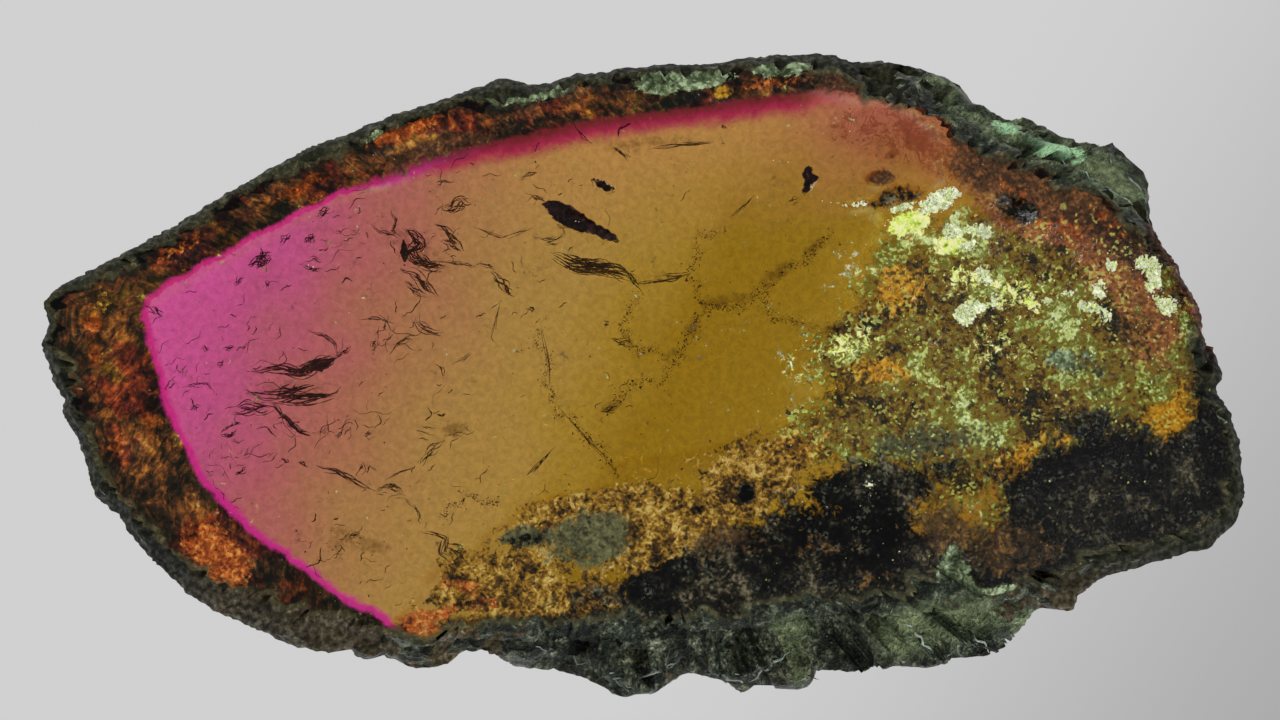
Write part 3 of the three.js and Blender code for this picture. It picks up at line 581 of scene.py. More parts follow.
def crystal_piece():
    """The crystal's closed surface, with what its materials read stored at its vertices."""
    rows, wall, broken = crystal_rows()
    count = len(rows)
    points = np.concatenate([rows.reshape(-1, 3), [[0, 0, 0], [0, 0, THICKNESS]]])
    row, station = np.meshgrid(np.arange(count - 1), np.arange(STATIONS), indexing="ij")
    onward = (station + 1) % STATIONS
    quads = np.stack([
        row * STATIONS + station, row * STATIONS + onward,
        (row + 1) * STATIONS + onward, (row + 1) * STATIONS + station,
    ], axis=-1).reshape(-1, 4)
    first = np.arange(STATIONS)
    second = (first + 1) % STATIONS
    last = (count - 1) * STATIONS
    low_pole, high_pole = count * STATIONS, count * STATIONS + 1
    faces = quads.tolist()
    faces += np.stack([np.full(STATIONS, low_pole), second, first], axis=1).tolist()
    faces += np.stack([last + first, last + second, np.full(STATIONS, high_pole)], axis=1).tolist()
    finishes = (upper_face_finish(), lower_face_finish(), grown_wall_finish(), broken_wall_finish())
    piece = piece_from_arrays("crystal", points, faces, finishes)
    piece.data.set_sharp_from_angle(angle=np.radians(32))
    first_wall, first_upper = (FOOT_ROWS - 1) * STATIONS, (FOOT_ROWS + WALL_ROWS - 2) * STATIONS
    kinds = np.zeros(len(faces), np.int32)
    kinds[:first_wall] = kinds[len(quads):len(quads) + STATIONS] = 1
    ragged = np.tile(broken, WALL_ROWS - 1) + 0.25 * waves(wall[:-1].reshape(-1, 3), 0.9 * MM, 19)
    kinds[first_wall:first_upper] = np.where(ragged > 0.5, 3, 2)
    piece.data.polygons.foreach_set("material_index", kinds)

    for name, values in face_numbers(points, wall[-1]).items():
        give_numbers(piece, name, values)
    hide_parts("tourmaline_slice")
    return points


def surface_map(points, cell=0.2 * MM):
    """The crystal's highest surface over a flat map of square cells. Empty cells of the cut face
    take the face's height."""
    size = np.ceil((2 * HALF_LENGTH, 2 * HALF_WIDTH) / np.array(cell)).astype(int) + 2
    heights = np.zeros(size)
    column, line = np.floor((points[:, :2] + (HALF_LENGTH, HALF_WIDTH)) / cell).astype(int).T
    np.maximum.at(heights, (column, line), points[:, 2])
    return heights, cell


def surface_heights(surface, places):
    """The surface's height at each flat place, read from its map."""
    heights, cell = surface
    column, line = np.floor((places[:, :2] + (HALF_LENGTH, HALF_WIDTH)) / cell).astype(int).T
    column = np.clip(column, 0, heights.shape[0] - 1)
    line = np.clip(line, 0, heights.shape[1] - 1)
    found = heights[column, line]
    return np.where(found > 0, found, THICKNESS)


def threads(name, lines, radii, sides, finishes, tones, flatness=1.0):
    """Many closed threads in one mesh: rings of this many sides carried along each line. A ring's
    points are line + r * (cos(a) * side + flatness * sin(a) * rise), side being level and rise
    square to both."""
    count, steps = radii.shape
    ahead = np.gradient(lines, axis=1)
    ahead /= np.linalg.norm(ahead, axis=2, keepdims=True)
    side = np.cross(ahead, (0, 0, 1.0))
    side /= np.maximum(np.linalg.norm(side, axis=2, keepdims=True), 1e-9)
    rise = np.cross(side, ahead)
    angle = np.arange(sides) * 2 * np.pi / sides
    around = np.cos(angle)[:, None] * side[:, :, None] + flatness * np.sin(angle)[:, None] * rise[:, :, None]
    points = (lines[:, :, None] + radii[:, :, None, None] * around).reshape(-1, 3)
    thread, step, turn = np.meshgrid(np.arange(count), np.arange(steps - 1), np.arange(sides), indexing="ij")
    start = (thread * steps + step) * sides
    onward = (turn + 1) % sides
    quads = np.stack([start + turn, start + sides + turn, start + sides + onward, start + onward], axis=-1)
    first = np.arange(count)[:, None] * steps * sides + np.arange(sides)
    last = first + (steps - 1) * sides
    faces = quads.reshape(-1, 4).tolist() + first.tolist() + last[:, ::-1].tolist()
    piece = piece_from_arrays(name, kept_inside(points), faces, finishes)
    give_numbers(piece, "tone", np.repeat(tones, steps * sides))
    return piece


def pebbles(name, middles, sizes, seed, finishes, tones, turn=None):
    """Many small closed eight-sided bits in one mesh: an octahedron whose corners are pulled about,
    scaled by its three half sizes, turned at random or about Z by its turn, and moved to its middle."""
    random = repeatable(seed)
    count = len(middles)
    corners = np.array([(1, 0, 0), (0, 1, 0), (-1, 0, 0), (0, -1, 0), (0, 0, 1), (0, 0, -1)], float)
    shape = corners + random.normal(0, 0.22, (count, 6, 3))
    shape *= sizes[:, None, :]
    yaw = random.uniform(0, 2 * np.pi, count) if turn is None else turn
    pitch = random.uniform(-1.2, 1.2, count) * (turn is None)
    cos, sin = np.cos(pitch)[:, None], np.sin(pitch)[:, None]
    x, y, z = shape.transpose(2, 0, 1)
    x, z = x * cos - z * sin, x * sin + z * cos
    cos, sin = np.cos(yaw)[:, None], np.sin(yaw)[:, None]
    shape = np.stack([x * cos - y * sin, x * sin + y * cos, z], axis=2)
    points = (shape + middles[:, None]).reshape(-1, 3)
    around = np.array([
        (0, 1, 4), (1, 2, 4), (2, 3, 4), (3, 0, 4), (1, 0, 5), (2, 1, 5), (3, 2, 5), (0, 3, 5),
    ])
    faces = (np.arange(count)[:, None, None] * 6 + around).reshape(-1, 3).tolist()
    piece = piece_from_arrays(name, kept_inside(points), faces, finishes, smooth=False)
    give_numbers(piece, "tone", np.repeat(tones, 6))
    return piece


def kept_inside(points):
    """Points held within the solid's box, give or take a hair's breadth above the face."""
    return np.clip(points, cad_low + (0, 0, 0.01 * MM), cad_high + (0, 0, 0.08 * MM))


def path_places(path, shares):
    """Places at these shares of a path's length, and the level direction square to the path there."""
    path = np.array(path) * MM
    travelled = np.concatenate([[0], np.cumsum(np.hypot(*np.diff(path, axis=0).T))])
    total = travelled[-1]
    x = np.interp(shares * total, travelled, path[:, 0])
    y = np.interp(shares * total, travelled, path[:, 1])
    step = 0.04
    ahead_x = np.interp((shares + step) * total, travelled, path[:, 0])
    ahead_x -= np.interp((shares - step) * total, travelled, path[:, 0])
    ahead_y = np.interp((shares + step) * total, travelled, path[:, 1])
    ahead_y -= np.interp((shares - step) * total, travelled, path[:, 1])
    length = np.maximum(np.hypot(ahead_x, ahead_y), 1e-9)
    return np.stack([x, y], axis=-1), np.stack([-ahead_y / length, ahead_x / length], axis=-1)


def dark_wisps(hairs):
    """The large feathery hairs: each is a bundle of strands along its path. A strand covers its own
    share of the path and sits off to the side by width * (seat + wobble) * sin(pi * share) ** 0.5."""
    steps = 15
    lines, radii, tones = [], [], []
    for number, (width, count, path) in enumerate(WISPS):
        random = repeatable(500 + number)
        count = 2 * count + 1
        start = random.uniform(0, 0.55, (count, 1)) * (np.arange(count)[:, None] > 0)
        end = start + (1 - start) * random.uniform(0.4, 1, (count, 1))
        share = start + (end - start) * np.linspace(0, 1, steps)
        places, square = path_places(path, share)
        seat = random.normal(0, 0.42, (count, 1))
        wobble = 0.35 * np.sin(share * random.uniform(5, 14, (count, 1)) + random.uniform(0, 6, (count, 1)))
        off = width * MM * (seat + wobble) * np.sin(np.pi * np.clip(share, 0.02, 0.98)) ** 0.5
        places = places + off[:, :, None] * square
        depth = random.uniform(2.4, 3.7) * MM + random.uniform(-0.12, 0.12, (count, 1)) * MM
        height = depth + 0.25 * MM * np.sin(share * 2.4 + random.uniform(0, 6))
        lines.append(np.concatenate([places, height[:, :, None]], axis=2))
        across = (0.008 + 0.09 * width * random.uniform(0.3, 1, (count, 1))) * MM
        taper = np.sin(np.pi * np.linspace(0.04, 0.96, steps)) ** 0.6
        radii.append(across * taper * random.uniform(0.5, 1.5, (count, steps)))
        tones.append(np.clip(0.75 * np.abs(seat[:, 0]) + random.uniform(0, 0.5, count), 0, 1))
    lines, radii, tones = np.concatenate(lines), np.concatenate(radii), np.concatenate(tones)
    threads("dark_wisps", lines, radii, 3, (hairs,), tones)


def fine_hairs(hairs):
    """Short curved hairs scattered through the core, densest at the blunt end. A hair bends as
    middle + s * length * ahead + s * s * bend * square, for s from -0.5 to 0.5."""
    random = repeatable(91)
    tries = 4600
    middles = random.uniform((-14.6, -7.4), (4.5, 8.2), (tries, 2)) * MM
    gap, _, side = distance_to_path(middles, np.array(RIND_BORDER) * MM)
    density = 0.16 * ramp(-middles[:, 0], 2 * MM, 8 * MM) + 0.06 * ramp(-middles[:, 0], -4 * MM, 3 * MM)
    density = density * (0.15 + 2.2 * ramp(waves(middles, 2.0 * MM, 92), 0.0, 1.0))
    rusty = soft_regions(middles, RUST) + soft_regions(middles, SOOT)
    kept = (gap * side < -0.12 * MM) & (random.uniform(size=tries) < density) & (rusty < 0.3)
    middles = middles[kept]
    count, steps = len(middles), 8
    combed = random.uniform(size=count) < 0.6
    turn = np.where(combed, random.normal(0.55, 0.5, count), random.uniform(0, 3.14, count))
    ahead = np.stack([np.cos(turn), np.sin(turn)], axis=1)
    square = np.stack([-ahead[:, 1], ahead[:, 0]], axis=1)
    length = random.gamma(1.6, 0.16, count) * MM + 0.08 * MM
    bend = random.normal(0, 0.6, count) * length
    share = np.linspace(-0.5, 0.5, steps)
    wobble = 0.06 * np.sin(share * 9 + random.uniform(0, 6, (count, 1))) * length[:, None]
    places = middles[:, None] + (share * length[:, None])[:, :, None] * ahead[:, None]
    places = places + ((share ** 2 - 0.08) * bend[:, None] + wobble)[:, :, None] * square[:, None]
    height = random.uniform(0.8, 3.9, (count, 1)) * MM + share * random.normal(0, 0.3, (count, 1)) * MM
    lines = np.concatenate([places, height[:, :, None]], axis=2)
    across = random.gamma(2.0, 0.004, (count, 1)) + 0.007
    radii = across * MM * np.sin(np.pi * np.linspace(0.06, 0.94, steps)) ** 0.5
    radii = radii * random.uniform(0.6, 1.4, (count, steps))
    threads("fine_hairs", lines, radii, 3, (hairs,), random.uniform(0.3, 1, count))


def hollows():
    """The dark leaf-shaped hollows: flattened threads whose half width follows a drawn profile of
    (share, half width in mm), its border roughened by noise."""
    steps = 30
    share = np.linspace(0, 1, steps)
    leaves = [
        ((-2.83, 4.84), (-0.72, 3.8), 3.2, [(0, 0.02), (0.06, 0.13), (0.3, 0.26), (0.44, 0.28), (0.6, 0.17),
                                            (0.72, 0.1), (0.88, 0.1), (0.96, 0.09), (1, 0.01)]),
        ((-1.56, 5.66), (-0.72, 5.25), 3.6, [(0, 0.02), (0.15, 0.09), (0.4, 0.11), (0.75, 0.1), (1, 0.01)]),
        ((-10.35, -0.1), (-9.1, 0.36), 3.5, [(0, 0.01), (0.3, 0.05), (0.6, 0.12), (0.85, 0.08), (1, 0.01)]),
        ((-7.1, 3.9), (-7.05, 3.2), 3.4, [(0, 0.02), (0.5, 0.09), (1, 0.02)]),
        ((3.0, -3.4), (3.1, -3.9), 3.8, [(0, 0.05), (0.5, 0.2), (1, 0.05)]),
    ]
    lines, radii = [], []
    for number, (start, end, height, profile) in enumerate(leaves):
        start, end = np.array((*start, height)) * MM, np.array((*end, height - 0.15)) * MM
        line = start + share[:, None] * (end - start)
        line[:, 1] += 0.03 * MM * np.sin(share * 7)
        places, widths = np.array(profile).T
        radius = 1.25 * np.interp(share, places, widths) * (1 + 0.2 * waves(line, 0.2 * MM, 60 + number))
        radius[[0, -1]] = 0.003
        lines.append(line)
        radii.append(radius * MM)
    lines, radii, tones = np.array(lines), np.array(radii), np.zeros(len(leaves))
    threads("leaf_hollows", lines, radii, 14, (hollow_finish(),), tones, 0.3)


def vein_flecks():
    """Brown flecks thick along the healed cracks and thin elsewhere, and dark ones in the core."""
    random = repeatable(131)
    places = []
    for path in VEINS:
        count = int(190 * np.hypot(*np.diff(np.array(path), axis=0).T).sum())
        spot, square = path_places(path, random.uniform(0, 1, count))
        off = random.normal(0, 0.09, count) * random.uniform(0.3, 1.6, count) * MM
        off += 0.12 * MM * waves(spot, 0.7 * MM, 132)
        places.append(spot + off[:, None] * square)
    veins = np.concatenate(places)
    loose = random.uniform((-14.6, -7.4), (8, 8.4), (2600, 2)) * MM
    gap, _, side = distance_to_path(loose, np.array(RIND_BORDER) * MM)
    density = 0.1 + 0.5 * ramp(waves(loose, 1.6 * MM, 133), 0.1, 1.0)
    kept = (gap * side < -0.1 * MM) & (random.uniform(size=len(loose)) < density)
    loose = loose[kept]
    smudges = random.uniform((-15, -7), (6.5, 8), (26000, 2)) * MM
    smudges = smudges[random.uniform(size=len(smudges)) < 0.42 * soft_regions(smudges, UMBER)]
    flat = np.concatenate([veins, loose, smudges])
    middles = np.column_stack([flat, random.uniform(1.0, 4.0, len(flat)) * MM])
    size = (random.gamma(1.6, 0.0045, len(flat)) + 0.005) * MM
    sizes = size[:, None] * random.uniform(0.6, 1.8, (len(flat), 3)) * (1, 1, 0.4)
    tones = np.concatenate([
        random.uniform(0.45, 1, len(veins)), random.uniform(0, 0.6, len(loose)),
        random.uniform(0.4, 1, len(smudges)),
    ])
    pebbles("vein_flecks", middles, sizes, 134, (fleck_finish(),), tones)


def crust_grains(surface, grains):
    """Pale green, lime and amber grains grown on the pitted part of the cut face."""
    random = repeatable(151)
    tries = random.uniform((3.5, -6.8), (17.6, 6.6), (140000, 2)) * MM
    mint, lime = soft_regions(tries, MINT), soft_regions(tries, LIME)
    crust, soot = soft_regions(tries, CRUST), soft_regions(tries, SOOT)
    clumps = ramp(waves(tries, 0.5 * MM, 152), -0.3, 0.9)
    weight = 1.3 * ramp(mint, 0.25, 0.8) + 0.32 * lime * clumps + 0.2 * crust * clumps
    weight = weight * (1 - ramp(soot, 0.3, 1.0))
    weight += 0.025 * soot * clumps
    edge = np.hypot(tries[:, 0] / HALF_LENGTH, tries[:, 1] / HALF_WIDTH)
    kept = (random.uniform(size=len(tries)) < 0.2 * weight) & (edge < 0.97)
    places, mint, lime = tries[kept], mint[kept], lime[kept]
    count = len(places)
    pick = random.uniform(size=count)
    tones = np.where(pick < 0.45, random.uniform(0.1, 0.5, count), random.uniform(0.5, 0.8, count))
    tones = np.where(lime > 0.5, random.uniform(0.5, 0.8, count), tones)
    tones = np.where(mint > 0.45, random.uniform(0.72, 0.96, count), tones)
    size = (random.gamma(2.0, 0.007, count) + 0.01) * MM * np.where(mint > 0.45, 1.7, 1)
    sizes = size[:, None] * random.uniform(0.6, 1.4, (count, 3)) * (1, 1, 0.7)
    middles = np.column_stack([places, surface_heights(surface, places) - 0.1 * size])
    pebbles("crust_grains", middles, sizes, 153, (grains,), tones)


def wall_splinters_and_glints(points, surface, splinters):
    """Splinters and painted glints (small pale bits standing in for light) on the broken walls, and pale
    crests along the larger split steps.
    """
    random = repeatable(171)
    broken = soft_regions(points, BROKEN_WALL) > 0.7
    broken &= (points[:, 2] > 0.25 * MM) & (points[:, 2] < THICKNESS - 0.1 * MM)
    count, large_count = 900, 260
    seats = random.choice(np.flatnonzero(broken), count)
    places = points[seats] * (0.994, 0.988, 1)
    # Large bits are splinters; the small pale ones are painted glints, standing in for light caught by the
    # breaks
    large = np.arange(count) < large_count
    length = np.where(large, random.uniform(0.08, 0.26, count), random.uniform(0.012, 0.035, count))
    sizes = np.stack([
        length, length * random.uniform(0.12, 0.3, count), length * random.uniform(0.1, 0.25, count),
    ], axis=1) * MM
    sizes[~large, 1:] = sizes[~large, :1] * 0.7
    turn = np.arctan2(-places[:, 0] * HALF_WIDTH ** 2, places[:, 1] * HALF_LENGTH ** 2)
    turn = turn + random.normal(0, 0.5, count)
    tones = np.where(large, random.uniform(0, 0.75, count), random.uniform(0.6, 1.0, count))
    pebbles("wall_splinters_and_glints", places, sizes, 172, (splinters,), tones, turn)

    steps = 16
    share = np.linspace(0, 1, steps)
    lines, radii = [], []
    for number, (width, path) in enumerate(STEPS):
        flat, square = path_places(path, share)
        flat = flat + (0.06 * MM * waves(flat, 0.4 * MM, 180 + number))[:, None] * square
        height = surface_heights(surface, flat)
        height = np.where(height >= THICKNESS - 0.01 * MM, np.nan, height)
        known = ~np.isnan(height)
        if known.sum() < 3:
            continue
        height = np.interp(share, share[known], height[known])
        height = np.polyval(np.polyfit(share, height, 2), share)
        lines.append(np.column_stack([flat, height]))
        taper = 0.35 + 0.65 * np.sin(np.pi * share)
        radii.append(width * MM * taper * (1 + 0.3 * waves(flat, 0.2 * MM, 190)))
    threads("split_crests", np.array(lines), np.array(radii), 6, (splinters,), np.full(len(lines), 0.6), 0.6)


def painted_glints(surface, grains):
    """Painted glints: white specks standing in for light caught by tiny fracture faces, on the dark lower
    crust, in the core and by the hollows.
    """
    random = repeatable(191)
    by_hand = np.array(PAINTED_GLINTS) * MM
    loose = random.uniform((-14.5, -7.2), (17, 8.5), (1500, 2)) * MM
    chance = 0.03 + 0.16 * np.clip(soft_regions(loose, SOOT) + soft_regions(loose, CRUST), 0, 1)
    inside = np.hypot(loose[:, 0] / HALF_LENGTH, loose[:, 1] / HALF_WIDTH) < 0.93
    loose = loose[(random.uniform(size=len(loose)) < chance) & inside]
    flat = np.concatenate([by_hand, loose])
    count = len(flat)
    size = random.uniform(0.006, 0.016, count) * MM
    size[:len(by_hand)] = random.uniform(0.012, 0.024, len(by_hand)) * MM
    sizes = size[:, None] * random.uniform(0.6, 1.5, (count, 3)) * (1, 1, 0.5)
    middles = np.column_stack([flat, surface_heights(surface, flat)])
    pebbles("painted_glints", middles, sizes, 192, (grains,), random.uniform(0.85, 1, count))


class Finish:
    """One material, built node by node."""

    def __init__(self, name):
        self.material = bpy.data.materials.new(name)
        self.material.use_nodes = True
        self.tree = self.material.node_tree
        self.shader = self.tree.nodes["Principled BSDF"]
        self.output = self.tree.nodes["Material Output"]
        self.place = self.tree.nodes.new("ShaderNodeTexCoord").outputs["Object"]

    def put(self, socket, value):
        """Sets a socket to a number or colour, or links it."""
        if isinstance(value, bpy.types.NodeSocket):
            self.tree.links.new(value, socket)
        elif isinstance(value, tuple) and len(value) == 3 and socket.type == "RGBA":
            socket.default_value = (*value, 1)
        else:
            socket.default_value = value

    def give(self, name, value):
        """Sets one of the shader's own sockets."""
        self.put(self.shader.inputs[name], value)

    def maths(self, what, first, second=0.0, third=0.0):
        """One sum on numbers."""
        node = self.tree.nodes.new("ShaderNodeMath")
        node.operation = what
        for socket, value in zip(node.inputs, (first, second, third)):
            self.put(socket, value)
        return node.outputs[0]

    def times(self, first, second):
        """Two numbers multiplied."""
        return self.maths("MULTIPLY", first, second)

    def plus(self, first, factor, second):
        """The first number plus the second times a factor."""
        return self.maths("MULTIPLY_ADD", second, factor, first)

    def stored(self, name):
        """A number stored at the vertices."""
        node = self.tree.nodes.new("ShaderNodeAttribute")
        node.attribute_name = name
        return node.outputs["Fac"]

    def step(self, value, start, end, low=0.0, high=1.0):
        """Smooth step of a number from low at start to high at end."""
        node = self.tree.nodes.new("ShaderNodeMapRange")
        node.interpolation_type = "SMOOTHSTEP"
        self.put(node.inputs["Value"], value)
        self.put(node.inputs["From Min"], start)
        self.put(node.inputs["From Max"], end)
        node.inputs["To Min"].default_value = low
        node.inputs["To Max"].default_value = high
        return node.outputs["Result"]

    def stretched(self, vector, scale):
        """Coordinates stretched along each axis."""
        node = self.tree.nodes.new("ShaderNodeMapping")
        self.put(node.inputs["Vector"], vector)
        node.inputs["Scale"].default_value = scale
        return node.outputs["Vector"]

    def noise(self, vector, size, detail=4.0, rough=0.55, twist=0.0, flat=False):
        """Cloudy noise with blotches of about this size, in metres. Flat noise leaves height out."""
        node = self.tree.nodes.new("ShaderNodeTexNoise")
        node.noise_dimensions = "2D" if flat else "3D"
        self.put(node.inputs["Vector"], vector)
        node.inputs["Scale"].default_value = 1 / size
        node.inputs["Detail"].default_value = detail
        node.inputs["Roughness"].default_value = rough
        node.inputs["Distortion"].default_value = twist
        return node.outputs["Fac"]

    def clouds(self, vector, size, detail, rough, twist=0.0):
        """Three unlike flat cloudy noises at once, each less a half."""
        node = self.noise(vector, size, detail, rough, twist, flat=True).node
        split = self.tree.nodes.new("ShaderNodeSeparateColor")
        self.put(split.inputs[0], node.outputs["Color"])
        return [self.maths("SUBTRACT", channel, 0.5) for channel in split.outputs]

    def cells(self, vector, size, what="Color"):
        """Flat grains of about this size, in metres: a random colour or the distance to the grain."""
        node = self.tree.nodes.new("ShaderNodeTexVoronoi")
        node.voronoi_dimensions = "2D"
        self.put(node.inputs["Vector"], vector)
        node.inputs["Scale"].default_value = 1 / size
        return node.outputs[what]

    def blend(self, share, first, second, how="MIX"):
        """Mixes two colours."""
        node = self.tree.nodes.new("ShaderNodeMix")
        node.data_type = "RGBA"
        node.blend_type = how
        self.put(node.inputs[0], share)
        self.put(node.inputs[6], first)
        self.put(node.inputs[7], second)
        return node.outputs[2]

    def colours(self, value, stops):
        """Colour ramp from (place, colour) stops in rising order."""
        node = self.tree.nodes.new("ShaderNodeValToRGB")
        self.put(node.inputs[0], value)
        ramp_stops = node.color_ramp.elements
        ramp_stops.remove(ramp_stops[1])
        ramp_stops[0].position = stops[0][0]
        ramp_stops[0].color = (*stops[0][1], 1)
        for place, colour in stops[1:]:
            ramp_stops.new(place).color = (*colour, 1)
        return node.outputs["Color"]

    def part(self, vector, axis):
        """One coordinate of a vector."""
        node = self.tree.nodes.new("ShaderNodeSeparateXYZ")
        self.put(node.inputs[0], vector)
        return node.outputs[axis]

    def joined(self, x, y, z):
        """A vector from three numbers."""
        node = self.tree.nodes.new("ShaderNodeCombineXYZ")
        for socket, value in zip(node.inputs, (x, y, z)):
            self.put(socket, value)
        return node.outputs[0]

    def bump(self, height, strength, depth):
        """Small relief of this depth in metres."""
        node = self.tree.nodes.new("ShaderNodeBump")
        node.inputs["Strength"].default_value = strength
        node.inputs["Distance"].default_value = depth
        self.put(node.inputs["Height"], height)
        return node.outputs["Normal"]

    def bit_tone(self, size, detail, noise_share, tone_share):
        """The tone stored with each hair, fleck or grain, varied by noise of this size."""
        noise = self.times(self.noise(self.place, size, detail), noise_share)
        return self.plus(noise, tone_share, self.stored("tone"))

    def glassy(self):
        """Tourmaline's refraction, with its depth of colour by plain absorption."""
        self.give("IOR", IOR)
        depth = self.tree.nodes.new("ShaderNodeVolumeAbsorption")
        depth.inputs["Color"].default_value = (0.85, 0.7, 0.45, 1)
        depth.inputs["Density"].default_value = 18.0
        self.put(self.output.inputs["Volume"], depth.outputs[0])


def core_zones(finish, broad):
    """The core's soft zones: magenta at the blunt end, rose, tan and olive gold, rosier along the top."""
    x = finish.part(finish.place, "X")
    y = finish.part(finish.place, "Y")
    slant = finish.plus(finish.plus(x, -0.43, y), 2.6 * MM, broad[0])
    share = finish.maths("DIVIDE", finish.maths("ADD", slant, 16 * MM), 28 * MM)
    zones = finish.colours(share, [
        (0.04, (0.98, 0.13, 0.48)), (0.13, (0.82, 0.13, 0.35)), (0.2, (0.7, 0.17, 0.2)),
        (0.26, (0.64, 0.225, 0.14)), (0.32, (0.62, 0.29, 0.11)), (0.4, (0.63, 0.355, 0.09)),
        (0.47, (0.63, 0.37, 0.072)), (0.53, (0.57, 0.335, 0.034)), (0.6, (0.45, 0.25, 0.008)),
        (0.72, (0.46, 0.265, 0.012)), (0.78, (0.56, 0.325, 0.02)), (0.92, (0.54, 0.27, 0.022)),
    ])
    high = finish.step(finish.plus(finish.plus(y, 2.0 * MM, broad[1]), -0.12, x), 3.2 * MM, 8.0 * MM)
    right = finish.step(x, 2.5 * MM, 8 * MM)
    rosy = finish.blend(right, (0.74, 0.37, 0.1), (0.72, 0.2, 0.13))
    return finish.blend(finish.times(high, finish.step(x, -8 * MM, -1 * MM)), zones, rosy)


def through_colour(finish, zones):
    """What the lower cut face lets through: the core's zones, light amber under the rind and pale
    straw under the crust."""
    rind = finish.step(finish.stored("rind"), -0.4 * MM, 0.5 * MM)
    under = finish.blend(rind, zones, (0.95, 0.5, 0.13))
    return finish.blend(finish.step(finish.stored("pale"), 0.25, 0.75), under, (0.95, 0.88, 0.55))


def core_colour(finish, zones, cloud, fine):
    """The zones with faint haze, curly red lines at the upper right and soft brown smudges."""
    haze = finish.step(finish.plus(cloud[2], 0.2, fine[0]), -0.1, 0.35, 0.0, 0.14)
    zones = finish.blend(haze, zones, (0.7, 0.6, 0.5), "MULTIPLY")
    smudge = finish.plus(finish.plus(finish.stored("umber"), 0.9, cloud[1]), 1.2, fine[1])
    smudge = finish.step(smudge, 0.3, 0.9)
    zones = finish.blend(finish.times(smudge, 0.6), zones, (0.34, 0.26, 0.14), "MULTIPLY")
    curls = finish.stored("curls")
    redder = finish.times(finish.step(curls, 0.0, 1.0), 0.55)
    zones = finish.blend(redder, zones, (0.86, 0.62, 0.95), "MULTIPLY")
    curl = finish.plus(finish.noise(finish.place, 0.9 * MM, 2, 0.5, 1.1, flat=True), 0.06, fine[2])
    line = finish.step(finish.maths("PINGPONG", curl, 0.06), 0.018, 0.006)
    line = finish.times(line, finish.step(finish.plus(curls, 1.6, cloud[1]), 0.35, 0.8))
    blotch = finish.step(finish.plus(finish.plus(curls, 2.4, cloud[2]), 1.2, fine[1]), 0.75, 1.25)
    line = finish.times(line, 0.65)
    line = finish.maths("MAXIMUM", line, finish.times(blotch, 0.7))
    return finish.blend(line, zones, (0.5, 0.26, 0.2), "MULTIPLY")


def magenta_line(finish, border):
    """How strongly the line next to the rind shows, and its tone: a thin bright one at the blunt
    end, and a broad crimson one with a soft lower edge along the top."""
    x = finish.part(finish.place, "X")
    y = finish.part(finish.place, "Y")
    broadness = finish.step(finish.plus(x, 0.5, y), -6.5 * MM, -3 * MM, 0.0, 0.62 * MM)
    width = finish.maths("ADD", broadness, finish.step(y, 0.5 * MM, 2.5 * MM, 0.32 * MM, 0.16 * MM))
    full = finish.plus(-0.1 * MM, -0.3, broadness)
    inward = finish.times(width, -1.0)
    share = finish.times(finish.step(border, inward, full), finish.step(x, 7.5 * MM, 4 * MM))
    inner = finish.step(border, -0.05 * MM, -0.4 * MM)
    crimson = finish.blend(inner, (0.24, 0.008, 0.03), (0.58, 0.014, 0.1))
    tone = finish.blend(finish.step(finish.plus(x, 0.5, y), -7 * MM, -2 * MM), (0.9, 0.03, 0.34), crimson)
    return finish.times(share, 0.95), tone


def rind_colour(finish, across, edge, broad, cloud, fine):
    """The mottled rind: olive black, brown and orange blotches drawn out across it, darker next to
    the core and towards the edge, with red and olive-yellow places."""
    drawn = finish.joined(
        finish.plus(finish.stored("along"), 0.6, across), finish.times(across, 0.5), 0.0)
    streaks = finish.noise(drawn, 0.26 * MM, 5, 0.66, 0.8, flat=True)
    value = finish.plus(finish.maths("MULTIPLY_ADD", cloud[0], 0.62, 0.04), 0.66, streaks)
    value = finish.plus(value, 0.45, fine[0])
    value = finish.plus(value, 0.28, broad[0])
    value = finish.plus(value, -0.12, finish.step(edge, 0.9 * MM, 0.25 * MM))
    inner = finish.step(finish.plus(across, 0.7 * MM, cloud[2]), 0.7 * MM, 0.25 * MM)
    value = finish.plus(value, -0.1, inner)
    mottled = finish.colours(value, [
        (0.12, (0.01, 0.01, 0.006)), (0.24, (0.04, 0.025, 0.012)), (0.33, (0.13, 0.05, 0.018)),
        (0.42, (0.3, 0.105, 0.025)), (0.52, (0.58, 0.22, 0.035)), (0.66, (0.98, 0.5, 0.1)),
    ])
    reds = finish.step(finish.plus(broad[2], 0.9, cloud[1]), -0.04, 0.12, 0.0, 0.85)
    mottled = finish.blend(reds, mottled, (0.95, 0.4, 0.7), "MULTIPLY")
    olive = finish.step(finish.plus(broad[1], 0.9, cloud[2]), 0.08, 0.22, 0.0, 0.8)
    return finish.blend(olive, mottled, (0.66, 1.0, 0.5), "MULTIPLY")


